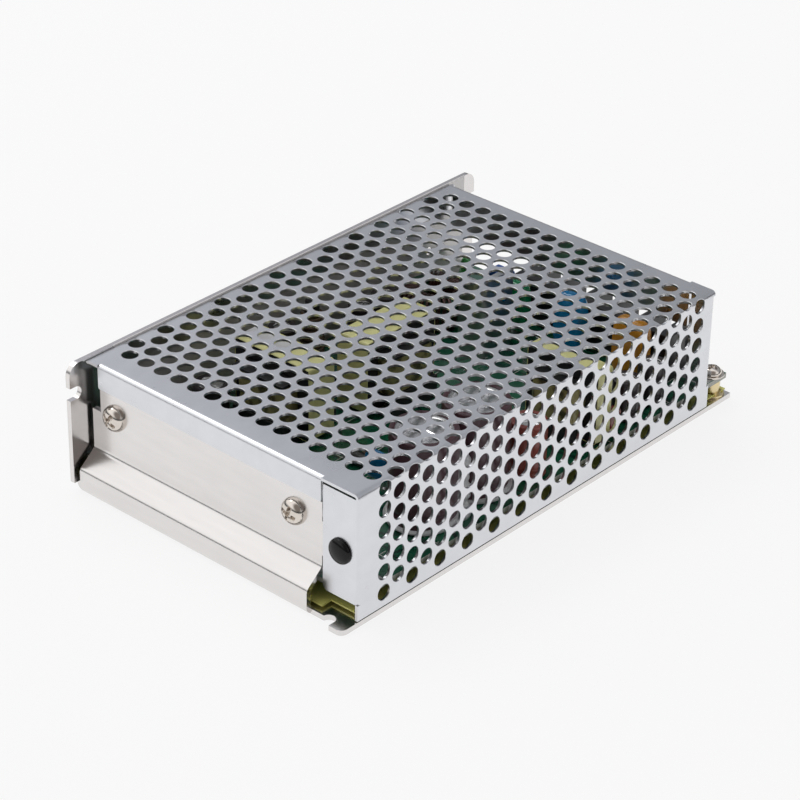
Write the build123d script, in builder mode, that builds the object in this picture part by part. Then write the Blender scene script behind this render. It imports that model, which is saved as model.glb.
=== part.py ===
from build123d import *
import os

os.makedirs("parts", exist_ok=True)

# An enclosed dc-dc converter, in millimetres. X runs across the case, Y from the plain end wall
# (-Y) to the open terminal end (+Y), and Z up. The origin is the centre of the underside.

# Case
case_length = 159.0
case_width = 97.0
case_height = 38.0
chassis_sheet = 1.5
chassis_bend = 2.0  # outer radius of a fold
cover_sheet = 0.8
cover_bend = 1.2  # outer radius of a fold
lap_gap = 0.1  # between two sheets that lap each other

# Ears of the left wall, and the open slots in the ears and in the base
front_ear = 5.6
rear_ear = 11.1
ear_corner_radius = 3.5
slot_width = 3.7
slot_depth = 3.9
ear_slot_drop = 8.5  # slot centre below the top
base_slot_inset = 6.25  # slot centre from the right edge of the base
base_tab_radius = 2.0

# End wall, folded up from the base with a step inwards
end_wall_setback = 1.0  # foot of the wall behind the tips of the ears
end_wall_left_gap = 2.6
end_wall_right_inset = 12.7
end_wall_step_start = 7.2
end_wall_step_end = 11.8
end_wall_top_gap = 1.6
end_wall_notch_width = 8.1
end_wall_notch_drop = 7.6
end_wall_corner_width = 3.1
end_wall_corner_drop = 14.4
base_lip = 1.3  # base edge beside the end wall, behind the foot of the wall
relief_height = 3.0

# Flaps of the cover
front_flap_drop = 6.9
front_flap_left = 6.1
front_flap_right = 12.3
rear_flap_drop = 13.8
rear_flap_left = 3.5
rear_flap_right = 8.1
side_flap_width = 11.6
rear_side_flap_width = 7.4
side_flap_foot = 4.8
rear_side_flap_foot = 7.0
side_flap_top_gap = 0.6
side_flap_corner_radius = 1.5
hook_flange_drop = 8.0
flap_root = 3.0  # flat length of a flap's section that lies in the sheet it leaves

# Perforation of the cover: rows along X, every second row moved by half a pitch
hole_diameter = 4.4
hole_pitch = 6.05
hole_rows = 25
first_row = 9.6  # from the front fold
top_centre_hole = 1.9  # place across of the middle hole in the even rows
even_row_reach = 7
side_first_hole = 4.2  # lowest hole above the foot of the side, in the even rows
side_hole_count = 6
hole_area_ratio = 1.1  # hexagon of the same area as the round hole, across its corners
punch_ratio = 1.5  # depth of the punched cut in sheet thicknesses

# Fasteners
screw_sides = 12  # few faces on what repeats
hidden_sides = 8  # fewer still where nothing shows
pan_slope = 0.55  # slope of a pan head, as a share of its height and of its radius
m3_drill_radius = 1.25
m3_shank_radius = 1.3
m3_bore_radius = 1.35
m3_clear_radius = 1.6
mount_spacing_x = 74.0
mount_spacing_y = 120.0
side_mount_height = 19.0
end_screw_left = 11.1  # from the left face of the case
end_screw_right = 22.0  # from the right face of the case
end_screw_height = 23.9
end_screw_head_radius = 3.7
end_screw_head_height = 2.6
end_screw_shank_radius = 1.95
end_screw_length = 5.0
end_screw_recess = 4.2
end_screw_recess_slot = 1.0
end_screw_recess_depth = 1.4
end_screw_recess_turn = 27
rivet_inset = 5.7
rivet_height = 20.0
rivet_head_radius = 3.5
rivet_head_height = 1.8
rivet_shank_radius = 2.0
rivet_barb_radius = 2.4
rivet_barb_length = 2.4
rivet_tab_half_height = 5.0
rivet_tab_reach = 3.7
rivet_tab_root = 1.0  # overlap of the tab with the wall
cover_screw_drop = 4.4  # screw centre below the top
cover_screw_reach = 48.0
cover_screw_head_radius = 2.8
cover_screw_length = 4.0

# Circuit board stack
standoff_flange_radius = 3.8
standoff_flange_height = 0.7
standoff_radius = 2.5
board_height = 6.0
board_thickness = 1.6
board_side_gap = 0.7
board_front_gap = 5.0
board_rear_inset = 0.5
board_screw_inset_x = 4.0
board_screw_inset_y = 3.4
board_screw_front_inset = 6.0
board_screw_corner_inset = 2.5  # the screw beside the terminals
board_screw_rear_inset = 19.0  # the screw beside the lamp
insulation_thickness = 0.4
insulation_gap = 0.3
insulation_front = 4.0
insulation_step = 3.4
insulation_step_width = 10.3
board_screw_head_radius = 2.75
board_screw_head_height = 2.0
washer_radius = 3.5
washer_thickness = 0.5
board_screw_length = 5.2

# Wound parts: ferrite core, bobbin, winding and the tape round the core
wound_clearance = 6.2  # from the tape to the cover
bobbin_base = 1.5
bobbin_wall = 0.8
bobbin_gap = 0.15
bobbin_rail = 3.0
tape_thickness = 0.25
core_yoke = 4.0
core_leg = 8.0
core_outer_leg = 4.0
winding_corner = 3.0
# name, centre x, centre y, turn, core length, core thickness, winding bulge
wound_parts = [
    ("front_transformer", -23.0, -25.3, 0, 26.8, 9.7, 5.5),
    ("middle_transformer", -13.4, 4.5, 90, 26.8, 11.0, 5.0),
    ("output_choke", 34.3, 24.0, 0, 23.8, 6.0, 5.5),
]

# Power devices: three clamped to the end wall through a bar, one on its own heat sink
spreader_thickness = 3.0
spreader_floor = 12.5
spreader_height = 20.0
spreader_end_gap = 2.0
pad_thickness = 0.3
pad_margin = 0.5
device_width = 10.2
device_body_height = 9.2
device_tab_height = 6.3
device_thickness = 4.5
device_tab_thickness = 1.3
device_foot = 5.0  # body above the board
device_lead = 0.8
device_lead_pitch = 2.54
device_hole_radius = 1.8
device_screw_length = 4.6
device_xs = [-26.0, -10.0, 6.0]
sink_x = -7.0
sink_y = 36.0
sink_short = 8.0
sink_long = 14.0
sink_sheet = 2.0
sink_bend = 3.0
sink_height = 24.0

# Terminal block: clamps between barriers, open upwards and to the rear
terminal_count = 5
terminal_pitch = 9.5
terminal_left = -17.0
terminal_end = 3.75  # outside the first and the last bay
terminal_depth = 16.0
terminal_height = 14.0
terminal_floor = 3.4
terminal_back = 2.5
terminal_barrier = 1.2
terminal_ear_width = 2.2
terminal_ear_depth = 8.0
terminal_ear_height = 7.0
clamp_width = 7.4
clamp_depth = 9.0
clamp_thickness = 1.0
clamp_shift = 0.6  # plate centre behind the screw
clamp_screw_inset = 6.8  # screw centre from the front face of the block
clamp_head_radius = 3.2
clamp_head_height = 2.4
clamp_shank_radius = 1.7
clamp_screw_length = 5.1
clamp_well_width = 4.0
clamp_well_depth = 2.7
clamp_washer_width = 6.6
clamp_washer_thickness = 0.9
clamp_open_gap = 1.2  # between the plate and the washer, for the wire
thread_gap = 0.05

# Output voltage trimmer and lamp beside the terminals
trimmer_x = -29.0
trimmer_rear_inset = 7.5
trimmer_width = 7.0
trimmer_depth = 4.6
trimmer_height = 7.4
trimmer_corner = 1.0
trimmer_axis_height = 4.2
rotor_radius = 2.4
rotor_face = 1.2  # rotor proud of the body
rotor_depth = 2.2
rotor_gap = 0.15
rotor_slot = 0.7
rotor_slot_length = 3.2
rotor_slot_depth = 0.8
led_x = -42.0
led_rear_inset = 8.0
led_radius = 1.5
led_rim_radius = 1.9
led_rim_height = 0.8
led_height = 5.0
led_edge = 0.8
led_foot = 2.0
led_lead = 0.5
led_lead_pitch = 1.6

# Capacitors
sleeve_thickness = 0.3
can_base = 0.6
input_can_points = [(34.3, -34.2), (34.3, -14.0)]
input_can_radius = 8.7
input_can_clearance = 3.4  # from the top of the can to the cover
# centre x, centre y, radius, height
small_cans = [
    (-37.0, -39.0, 5.0, 12.8),
    (-40.5, -8.0, 4.0, 16.3),
    (-38.0, 21.5, 4.0, 12.3),
    (-38.0, 31.0, 4.0, 12.3),
    (40.2, 0.3, 5.0, 16.3),
    (41.0, 40.5, 4.0, 12.3),
    (41.0, 52.0, 4.0, 12.3),
]
silicone_gap = 0.02
silicone_x = 41.4
silicone_y = -28.0
silicone_radius = 2.6
silicone_height = 20.5
dipped_edge = 0.3  # edge radius and chamfer of a dipped body, in body thicknesses
dipped_lead = 0.6
dipped_lead_spread = 0.6  # lead spacing in body widths
# name, centre x, centre y, width, thickness, height, height of the foot
dipped_capacitors = [
    ("green_film_capacitor", -10.6, 56.0, 9.5, 5.0, 15.0, 1.5),
    ("blue_film_capacitor", 8.0, 57.5, 10.5, 5.5, 17.5, 1.5),
    ("orange_film_capacitor", 29.8, 57.0, 11.5, 6.0, 18.0, 1.5),
    ("red_film_capacitor", 44.0, 31.0, 3.4, 5.4, 7.0, 1.0),
    ("safety_disc_capacitor", 16.0, -31.0, 8.0, 3.2, 8.0, 2.0),
]
box_x = 12.0
box_y = -53.0
box_width = 18.0
box_depth = 8.5
box_height = 12.0
box_chamfer = 0.6

# Chokes with wire of one piece
ring_x = -33.0
ring_y = 48.0
ring_outer = 10.0
ring_inner = 5.5
ring_height = 7.5
ring_arc = 140
wire_wrap = 1.4
wire_gap = 0.05
rod_x = -41.5
rod_y = 5.0
rod_radius = 2.0
rod_height = 19.0
rod_wire_radius = 3.6
rod_wire_floor = 2.0
rod_wire_height = 14.0

# Fuse, chips and small parts
fuse_x = 13.0
fuse_y = 46.0
fuse_length = 20.0
fuse_radius = 2.5
fuse_glass_radius = 2.3
fuse_cap = 5.0
fuse_height = 4.2
clip_sheet = 0.4
clip_width = 4.0
chip_width = 6.4
chip_height = 3.4
chip_foot = 0.6
pin_width = 0.5
pin_length = 1.0
pin_pitch = 2.54
# centre x, centre y, length, pins in a row
control_chips_at = [(12.0, 4.0, 9.4, 4), (19.0, -12.0, 9.4, 4)]
optocouplers_at = [(22.0, 38.0, 4.6, 2), (31.0, 40.0, 4.6, 2)]
axial_lead = 0.6
resistor_length = 6.3
resistor_radius = 1.2
resistor_span = 10.0
resistor_points = [(-4.0, -38.0), (-4.0, -42.0), (8.0, -36.5), (6.0, -22.0), (20.0, 10.0)]
diode_length = 7.0
diode_radius = 1.9
diode_span = 12.0
diode_points = [(6.0, -27.0), (-30.0, -54.0), (32.0, -56.0)]

# Edges worked out from the values above
x_right = case_width / 2
x_left = -x_right
y_rear = case_length / 2
y_front = -y_rear
wall_inside = x_left + chassis_sheet
cover_left = wall_inside + lap_gap
cover_front = y_front + front_ear
cover_rear = y_rear - rear_ear
side_inside = x_right - cover_sheet
cover_underside = case_height - cover_sheet
slot_radius = slot_width / 2
ear_slot_height = case_height - ear_slot_drop
cover_screw_height = case_height - cover_screw_drop
slot_reach = slot_depth - slot_radius
end_foot = y_front + end_wall_setback
end_face = cover_front + cover_sheet + lap_gap
end_inside = end_face + chassis_sheet
end_left = x_left + end_wall_left_gap
end_right = x_right - end_wall_right_inset
end_top = case_height - end_wall_top_gap
base_front = end_foot + base_lip
base_slot_x = x_right - base_slot_inset
left_screw_x = x_left + end_screw_left
right_screw_x = x_right - end_screw_right
rivet_x = x_right - rivet_inset
board_top = board_height + board_thickness
board_left = wall_inside + board_side_gap
board_right = side_inside - board_side_gap
board_front = end_foot + chassis_sheet + board_front_gap
board_rear = y_rear - board_rear_inset
sheet_floor = chassis_sheet + standoff_flange_height
board_points = [
    (board_right - board_screw_corner_inset, board_rear - board_screw_inset_y),
    (board_left + board_screw_inset_x, board_rear - board_screw_rear_inset),
    (board_right - board_screw_inset_x, board_front + board_screw_front_inset),
    (board_left + board_screw_inset_x, board_front + board_screw_front_inset),
]
led_y = board_rear - led_rear_inset
trimmer_y = board_rear - trimmer_rear_inset
input_can_height = cover_underside - input_can_clearance - board_top
wound_top = cover_underside - wound_clearance
core_floor = board_top + bobbin_base + tape_thickness
core_height = wound_top - tape_thickness - core_floor
window_height = core_height - 2 * core_yoke
spreader_face = end_inside + spreader_thickness
spreader_left = end_left + spreader_end_gap
spreader_right = end_right - end_wall_notch_width + spreader_end_gap
device_floor = board_top + device_foot
device_height = device_body_height + device_tab_height
device_hole_height = device_floor + device_body_height + device_tab_height / 2
device_face = spreader_face + pad_thickness + device_tab_thickness
rectifier_face = sink_x - sink_sheet - device_tab_thickness
rectifier_y = sink_y + sink_long - device_width / 2
terminal_front = board_rear - terminal_depth
terminal_width = terminal_count * terminal_pitch + 2 * terminal_end
terminal_plate = board_top + terminal_floor
washer_floor = terminal_plate + clamp_thickness + clamp_open_gap
clamp_y = terminal_front + clamp_screw_inset
bay_width = terminal_pitch - terminal_barrier
bay_xs = []
for bay in range(terminal_count):
    bay_xs.append(terminal_left + terminal_end + (bay + 0.5) * terminal_pitch)
trimmer_axis = board_top + trimmer_axis_height
trimmer_back = trimmer_y + trimmer_depth / 2
ring_middle = (ring_outer + ring_inner) / 2
wire_section = ring_outer - ring_inner + 2 * wire_gap
row_spacing = hole_pitch * 3**0.5 / 2
hex_radius = hole_area_ratio * hole_diameter / 2
punch_depth = punch_ratio * cover_sheet


def across(y):
    """Plane of the case's cross section at y; a negative extrusion runs to +Y."""
    return Plane.XZ.offset(-y)


def finish(builder, name):
    """Name the finished piece and write it."""
    builder.part.label = name
    export_step(builder.part, f"parts/{name}.step")


# Chassis: one folded aluminium sheet with the base, the left wall and the end wall
with BuildPart() as chassis:
    with BuildSketch(Plane.XZ):
        with BuildLine():
            FilletPolyline(
                (x_right, 0), (x_left, 0), (x_left, case_height), radius=chassis_bend
            )
            offset(amount=chassis_sheet, side=Side.RIGHT)
        make_face()
    extrude(amount=case_length / 2, both=True)
    fillet(
        chassis.edges().filter_by(Axis.X).group_by(Axis.Z)[-1], radius=ear_corner_radius
    )
    # The strip of the base in front of the fold is cut away, with relief beside the wall
    with BuildSketch():
        with Locations(((x_left + base_slot_x) / 2, (y_front + base_front) / 2)):
            Rectangle(base_slot_x - x_left, base_front - y_front)
    extrude(amount=relief_height, mode=Mode.SUBTRACT)
    fillet(
        chassis.edges().filter_by(Axis.Z).sort_by_distance((x_right, y_front, 0))[0],
        radius=base_tab_radius,
    )
    with BuildSketch(Plane.YZ.offset(end_left)):
        with BuildLine():
            FilletPolyline(
                (base_front + chassis_bend, 0),
                (end_foot, 0),
                (end_foot, end_wall_step_start),
                (end_face, end_wall_step_end),
                (end_face, end_top),
                radius=chassis_bend,
            )
            offset(amount=chassis_sheet, side=Side.RIGHT)
        make_face()
    extrude(amount=end_right - end_left)
    # Corner cut at the top left, and the lower edge at the top right
    with BuildSketch(across(end_foot)):
        with Locations((end_left, end_top)):
            Rectangle(
                end_wall_corner_width,
                end_wall_corner_drop - end_wall_top_gap,
                align=(Align.MIN, Align.MAX),
            )
        with Locations((end_right, end_top)):
            Rectangle(
                end_wall_notch_width,
                end_wall_notch_drop - end_wall_top_gap,
                align=(Align.MAX, Align.MAX),
            )
    extrude(amount=end_foot - end_inside, mode=Mode.SUBTRACT)
    # Tab behind the side flap, where the push rivet grips
    with BuildSketch(across(end_face)):
        with Locations((end_right - rivet_tab_root, rivet_height)):
            Rectangle(
                rivet_x + rivet_tab_reach - end_right + rivet_tab_root,
                2 * rivet_tab_half_height,
                align=(Align.MIN, Align.CENTER),
            )
    extrude(amount=-chassis_sheet)
    # Open slots in both ears and in the base
    with BuildSketch(Plane.YZ.offset(x_left)):
        for end, inwards in ((y_front, 1), (y_rear, -1)):
            with Locations((end + inwards * slot_reach, ear_slot_height)):
                Circle(slot_radius)
            with Locations((end + inwards * slot_reach / 2, ear_slot_height)):
                Rectangle(slot_reach, slot_width)
    extrude(amount=chassis_sheet, mode=Mode.SUBTRACT)
    with BuildSketch():
        with Locations((base_slot_x, y_front + slot_reach)):
            Circle(slot_radius)
        with Locations((base_slot_x, y_front + slot_reach / 2)):
            Rectangle(slot_width, slot_reach)
    extrude(amount=chassis_sheet, mode=Mode.SUBTRACT)
    # Holes: two device screws, the rivet, tapped holes for mounting, countersunk cover screws
    with Locations(
        Plane(origin=(left_screw_x, end_face, end_screw_height), z_dir=(0, -1, 0)),
        Plane(origin=(right_screw_x, end_face, end_screw_height), z_dir=(0, -1, 0)),
    ):
        Hole(end_screw_shank_radius + lap_gap, depth=chassis_sheet)
    with Locations(Plane(origin=(rivet_x, end_face, rivet_height), z_dir=(0, -1, 0))):
        Hole(rivet_shank_radius + lap_gap, depth=chassis_sheet)
    with Locations(Plane(origin=(0, 0, 0), z_dir=(0, 0, -1))):
        with GridLocations(mount_spacing_x, mount_spacing_y, 2, 2):
            Hole(m3_drill_radius, depth=chassis_sheet)
    for side in (-1, 1):
        with Locations(
            Plane(
                origin=(x_left, side * mount_spacing_y / 2, side_mount_height),
                z_dir=(-1, 0, 0),
            )
        ):
            Hole(m3_drill_radius, depth=chassis_sheet)
        with Locations(
            Plane(
                origin=(x_left, side * cover_screw_reach, cover_screw_height),
                z_dir=(-1, 0, 0),
            )
        ):
            CounterSinkHole(
                m3_clear_radius, cover_screw_head_radius + lap_gap, depth=chassis_sheet
            )
finish(chassis, "chassis")

# Cover: one folded galvanised sheet, perforated before it was bent
cover_length = cover_rear - cover_front
cover_foot = chassis_sheet
front_flap_edge = x_right - front_flap_right
side_flap_edge = x_right - side_flap_width
rear_side_flap_edge = x_right - rear_side_flap_width
side_flap_top = cover_underside - side_flap_top_gap
top_holes = []
side_holes = []
for row in range(hole_rows):
    hole_y = cover_front + first_row + row * row_spacing
    shifted = row % 2
    for i in range(-even_row_reach - shifted, even_row_reach + 1):
        top_holes.append((top_centre_hole + (i + shifted / 2) * hole_pitch, hole_y))
    for i in range(side_hole_count - shifted):
        hole_z = cover_foot + side_first_hole + (i + shifted / 2) * hole_pitch
        side_holes.append((hole_y, hole_z))

with BuildPart() as cover:
    with BuildSketch(across(cover_front)):
        with BuildLine():
            FilletPolyline(
                (cover_left, case_height - hook_flange_drop),
                (cover_left, case_height),
                (x_right, case_height),
                (x_right, cover_foot),
                radius=cover_bend,
            )
            offset(amount=cover_sheet, side=Side.RIGHT)
        make_face()
    extrude(amount=-cover_length)
    # The square edges make way for the folds of the four flaps
    top_flaps = [
        (cover_front, 1, x_left + front_flap_left, front_flap_edge, front_flap_drop),
        (cover_rear, -1, x_left + rear_flap_left, x_right - rear_flap_right, rear_flap_drop),
    ]
    side_flaps = [
        (cover_front, 1, side_flap_edge, cover_foot + side_flap_foot),
        (cover_rear, -1, rear_side_flap_edge, cover_foot + rear_side_flap_foot),
    ]
    for edge, inwards, left, right, drop in top_flaps:
        with BuildSketch(Plane.XY.offset(case_height)):
            with Locations(((left + right) / 2, edge + inwards * cover_bend / 2)):
                Rectangle(right - left, cover_bend)
        extrude(amount=-cover_sheet, mode=Mode.SUBTRACT)
        with BuildSketch(Plane.YZ.offset(left)):
            with BuildLine():
                FilletPolyline(
                    (edge + inwards * (cover_bend + flap_root), case_height),
                    (edge, case_height),
                    (edge, case_height - drop),
                    radius=cover_bend,
                )
                offset(
                    amount=cover_sheet, side=Side.LEFT if inwards > 0 else Side.RIGHT
                )
            make_face()
        extrude(amount=right - left)
    for edge, inwards, inner, foot in side_flaps:
        with BuildSketch(Plane.XY.offset(foot)):
            with Locations((side_inside + cover_sheet / 2, edge + inwards * cover_bend / 2)):
                Rectangle(cover_sheet, cover_bend)
        extrude(amount=side_flap_top - foot, mode=Mode.SUBTRACT)
        with BuildSketch(Plane.XY.offset(foot)):
            with BuildLine():
                FilletPolyline(
                    (x_right, edge + inwards * (cover_bend + flap_root)),
                    (x_right, edge),
                    (inner, edge),
                    radius=cover_bend,
                )
                offset(
                    amount=cover_sheet, side=Side.RIGHT if inwards > 0 else Side.LEFT
                )
            make_face()
        extrude(amount=side_flap_top - foot)
        corner = (inner, edge, foot)
        fillet(
            cover.edges().filter_by(Axis.Y).sort_by_distance(corner)[0],
            radius=side_flap_corner_radius,
        )
    with Locations(Plane(origin=(rivet_x, cover_front, rivet_height), z_dir=(0, -1, 0))):
        Hole(rivet_shank_radius + lap_gap, depth=cover_sheet)
    for side in (-1, 1):
        with Locations(
            Plane(
                origin=(cover_left, side * cover_screw_reach, cover_screw_height),
                z_dir=(-1, 0, 0),
            )
        ):
            Hole(m3_bore_radius, depth=cover_sheet)
    # Perforation: the two halves of the pattern meet at the long fold
    with BuildSketch(Plane.XY.offset(case_height)):
        with Locations(*top_holes):
            RegularPolygon(hex_radius, 6)
    extrude(amount=-punch_depth, mode=Mode.SUBTRACT)
    with BuildSketch(Plane.YZ.offset(x_right)):
        with Locations(*side_holes):
            RegularPolygon(hex_radius, 6, rotation=30)
    extrude(amount=-punch_depth, mode=Mode.SUBTRACT)
finish(cover, "cover")


# Fasteners of the case
def pan_screw(head_radius, head_height, shank_radius, shank_length, sides=screw_sides):
    """Pan head screw along Z, with the underside of its head at the origin."""
    with BuildPart() as screw:
        with BuildSketch():
            RegularPolygon(head_radius, sides)
        extrude(amount=head_height)
        rim = screw.faces().sort_by(Axis.Z)[-1].edges()
        chamfer(rim, length=head_height * pan_slope, length2=head_radius * pan_slope)
        with BuildSketch():
            RegularPolygon(shank_radius, sides)
        extrude(amount=-shank_length)
    return screw.part


end_screw = pan_screw(
    end_screw_head_radius,
    end_screw_head_height,
    end_screw_shank_radius,
    end_screw_length,
    sides=2 * screw_sides,
)
with BuildPart() as end_wall_screws:
    for screw_x in (left_screw_x, right_screw_x):
        seat = Plane(
            origin=(screw_x, end_face, end_screw_height), x_dir=(1, 0, 0), z_dir=(0, -1, 0)
        )
        with Locations(seat):
            add(end_screw)
        # Cross recess, turned a little as the screw came to rest
        recess = seat.rotated((0, 0, end_screw_recess_turn)).offset(end_screw_head_height)
        with BuildSketch(recess):
            Rectangle(end_screw_recess, end_screw_recess_slot)
            Rectangle(end_screw_recess_slot, end_screw_recess)
        extrude(amount=-end_screw_recess_depth, mode=Mode.SUBTRACT)
finish(end_wall_screws, "end_wall_screws")

rivet_grip = end_inside - cover_front
rivet = pan_screw(
    rivet_head_radius,
    rivet_head_height,
    rivet_shank_radius,
    rivet_grip + rivet_barb_length,
    sides=2 * screw_sides,
)
with BuildPart() as push_rivet:
    with Locations(Plane(origin=(rivet_x, cover_front, rivet_height), z_dir=(0, -1, 0))):
        add(rivet)
    # Barb that has opened behind the tab
    with BuildSketch(across(end_inside + lap_gap)):
        with Locations((rivet_x, rivet_height)):
            RegularPolygon(rivet_barb_radius, screw_sides)
    extrude(amount=lap_gap - rivet_barb_length)
finish(push_rivet, "push_rivet")

with BuildPart() as cover_screws:
    for side in (-1, 1):
        seat = Plane(
            origin=(x_left, side * cover_screw_reach, cover_screw_height),
            z_dir=(-1, 0, 0),
        )
        with Locations(seat):
            Cone(
                m3_shank_radius,
                cover_screw_head_radius,
                cover_screw_head_radius - m3_shank_radius,
                align=(Align.CENTER, Align.CENTER, Align.MAX),
            )
            Cylinder(
                m3_shank_radius,
                cover_screw_length,
                align=(Align.CENTER, Align.CENTER, Align.MAX),
            )
finish(cover_screws, "cover_screws")

# Insulation sheet under the board, resting on the flanges of the standoffs
sheet_front = y_front + insulation_front
sheet_step_x = x_right - insulation_step_width
with BuildPart() as insulation_sheet:
    with BuildSketch(Plane.XY.offset(sheet_floor)):
        with BuildLine():
            Polyline(
                (board_left, sheet_front),
                (sheet_step_x, sheet_front),
                (sheet_step_x, sheet_front + insulation_step),
                (board_right, sheet_front + insulation_step),
                (board_right, board_rear),
                (board_left, board_rear),
                close=True,
            )
        make_face()
        with Locations(*board_points):
            RegularPolygon(
                standoff_radius + insulation_gap,
                hidden_sides,
                major_radius=False,
                mode=Mode.SUBTRACT,
            )
    extrude(amount=insulation_thickness)
finish(insulation_sheet, "insulation_sheet")

# Board with its four standoffs, washers and screws
with BuildPart() as circuit_board:
    with BuildSketch(Plane.XY.offset(board_height)):
        with Locations(((board_left + board_right) / 2, (board_front + board_rear) / 2)):
            Rectangle(board_right - board_left, board_rear - board_front)
        with Locations(*board_points):
            Circle(m3_clear_radius, mode=Mode.SUBTRACT)
    extrude(amount=board_thickness)
finish(circuit_board, "circuit_board")

with BuildPart() as board_standoffs:
    with BuildSketch(Plane.XY.offset(chassis_sheet)):
        with Locations(*board_points):
            RegularPolygon(standoff_flange_radius, screw_sides)
    extrude(amount=standoff_flange_height)
    with BuildSketch(Plane.XY.offset(sheet_floor)):
        with Locations(*board_points):
            RegularPolygon(standoff_radius, screw_sides)
    extrude(amount=board_height - sheet_floor)
    with BuildSketch(Plane.XY.offset(board_height)):
        with Locations(*board_points):
            RegularPolygon(m3_bore_radius, hidden_sides, major_radius=False)
    extrude(amount=chassis_sheet - board_height, mode=Mode.SUBTRACT)
finish(board_standoffs, "board_standoffs")

# Each board screw has its washer fixed under the head
board_screw = pan_screw(
    board_screw_head_radius, board_screw_head_height, m3_shank_radius, board_screw_length
)
with BuildPart() as board_screws:
    for x, y in board_points:
        with Locations((x, y, board_top + washer_thickness)):
            add(board_screw)
    with BuildSketch(Plane.XY.offset(board_top)):
        with Locations(*board_points):
            RegularPolygon(washer_radius, 2 * screw_sides)
    extrude(amount=washer_thickness)
finish(board_screws, "board_screws")

# Wound parts
for name, x, y, turn, length, thickness, bulge in wound_parts:
    place = Plane((x, y, core_floor)).rotated((0, 0, turn))
    window = (length - core_leg) / 2 - core_outer_leg
    winding_width = core_leg + 2 * window - 2 * bobbin_gap
    winding_depth = thickness + 2 * bulge
    tube_width = core_leg + 2 * (bobbin_wall + bobbin_gap)
    tube_depth = thickness + 2 * (bobbin_wall + bobbin_gap)

    with BuildPart() as core:
        with BuildSketch(place):
            Rectangle(length, thickness)
        extrude(amount=core_height)
        with BuildSketch(place.offset(core_yoke)):
            with GridLocations(core_leg + window, 0, 2, 1):
                Rectangle(window, thickness)
        extrude(amount=window_height, mode=Mode.SUBTRACT)
    finish(core, f"{name}_core")

    with BuildPart() as tape:
        with BuildSketch(place.offset(-tape_thickness)):
            Rectangle(length + 2 * tape_thickness, thickness)
        extrude(amount=core_height + 2 * tape_thickness)
        with BuildSketch(place):
            Rectangle(length, thickness)
        extrude(amount=core_height, mode=Mode.SUBTRACT)
    finish(tape, f"{name}_tape")

    with BuildPart() as bobbin:
        # Base on the board, with a rail up each side to the lower flange
        with BuildSketch(place.offset(-tape_thickness - bobbin_base)):
            Rectangle(winding_width, winding_depth)
        extrude(amount=bobbin_base)
        with BuildSketch(place.offset(-tape_thickness)):
            with GridLocations(0, winding_depth - bobbin_rail, 1, 2):
                Rectangle(winding_width, bobbin_rail)
        extrude(amount=core_yoke + tape_thickness + bobbin_gap)
        with BuildSketch(place.offset(core_yoke + bobbin_gap)):
            Rectangle(winding_width, winding_depth)
        extrude(amount=bobbin_wall)
        with BuildSketch(place.offset(core_yoke + window_height - bobbin_gap - bobbin_wall)):
            Rectangle(winding_width, winding_depth)
        extrude(amount=bobbin_wall)
        with BuildSketch(place.offset(core_yoke + bobbin_gap)):
            Rectangle(tube_width, tube_depth)
        extrude(amount=window_height - 2 * bobbin_gap)
        with BuildSketch(place.offset(core_yoke)):
            Rectangle(core_leg + 2 * bobbin_gap, thickness + 2 * bobbin_gap)
        extrude(amount=window_height, mode=Mode.SUBTRACT)
    finish(bobbin, f"{name}_bobbin")

    with BuildPart() as winding:
        with BuildSketch(place.offset(core_yoke + bobbin_gap + bobbin_wall)):
            RectangleRounded(
                winding_width - 2 * bobbin_gap, winding_depth - bobbin_wall, winding_corner
            )
            Rectangle(tube_width, tube_depth, mode=Mode.SUBTRACT)
        extrude(amount=window_height - 2 * (bobbin_gap + bobbin_wall))
    finish(winding, f"{name}_winding")

# Bar, pads, power devices and their screws
with BuildPart() as heat_spreader:
    with BuildSketch(across(end_inside)):
        with Locations(((spreader_left + spreader_right) / 2, spreader_floor)):
            Rectangle(
                spreader_right - spreader_left,
                spreader_height,
                align=(Align.CENTER, Align.MIN),
            )
        with Locations(
            (left_screw_x, end_screw_height), (right_screw_x, end_screw_height)
        ):
            RegularPolygon(
                end_screw_shank_radius + thread_gap,
                hidden_sides,
                major_radius=False,
                mode=Mode.SUBTRACT,
            )
        with Locations(*[(x, device_hole_height) for x in device_xs]):
            RegularPolygon(
                m3_bore_radius, hidden_sides, major_radius=False, mode=Mode.SUBTRACT
            )
    extrude(amount=-spreader_thickness)
finish(heat_spreader, "heat_spreader")

with BuildPart() as device_pads:
    with BuildSketch(across(spreader_face)):
        with Locations(*[(x, device_floor + device_height / 2) for x in device_xs]):
            Rectangle(device_width + 2 * pad_margin, device_height + 2 * pad_margin)
        with Locations(*[(x, device_hole_height) for x in device_xs]):
            RegularPolygon(m3_clear_radius, hidden_sides, mode=Mode.SUBTRACT)
    extrude(amount=-pad_thickness)
finish(device_pads, "device_pads")


def power_device():
    """Flat power package on its leads, standing on Z=0 with its back on the XZ plane."""
    with BuildPart() as device:
        with BuildSketch(Plane.XZ):
            Rectangle(device_width, device_height, align=(Align.CENTER, Align.MIN))
            with Locations((0, device_body_height + device_tab_height / 2)):
                RegularPolygon(device_hole_radius, hidden_sides, mode=Mode.SUBTRACT)
        extrude(amount=-device_tab_thickness)
        with BuildSketch(across(device_tab_thickness)):
            Rectangle(device_width, device_body_height, align=(Align.CENTER, Align.MIN))
        extrude(amount=device_tab_thickness - device_thickness)
        with BuildSketch():
            with Locations((0, device_thickness / 2)):
                with GridLocations(device_lead_pitch, 0, 3, 1):
                    Rectangle(device_lead, device_lead)
        extrude(amount=-device_foot)
    return device.part


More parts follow.
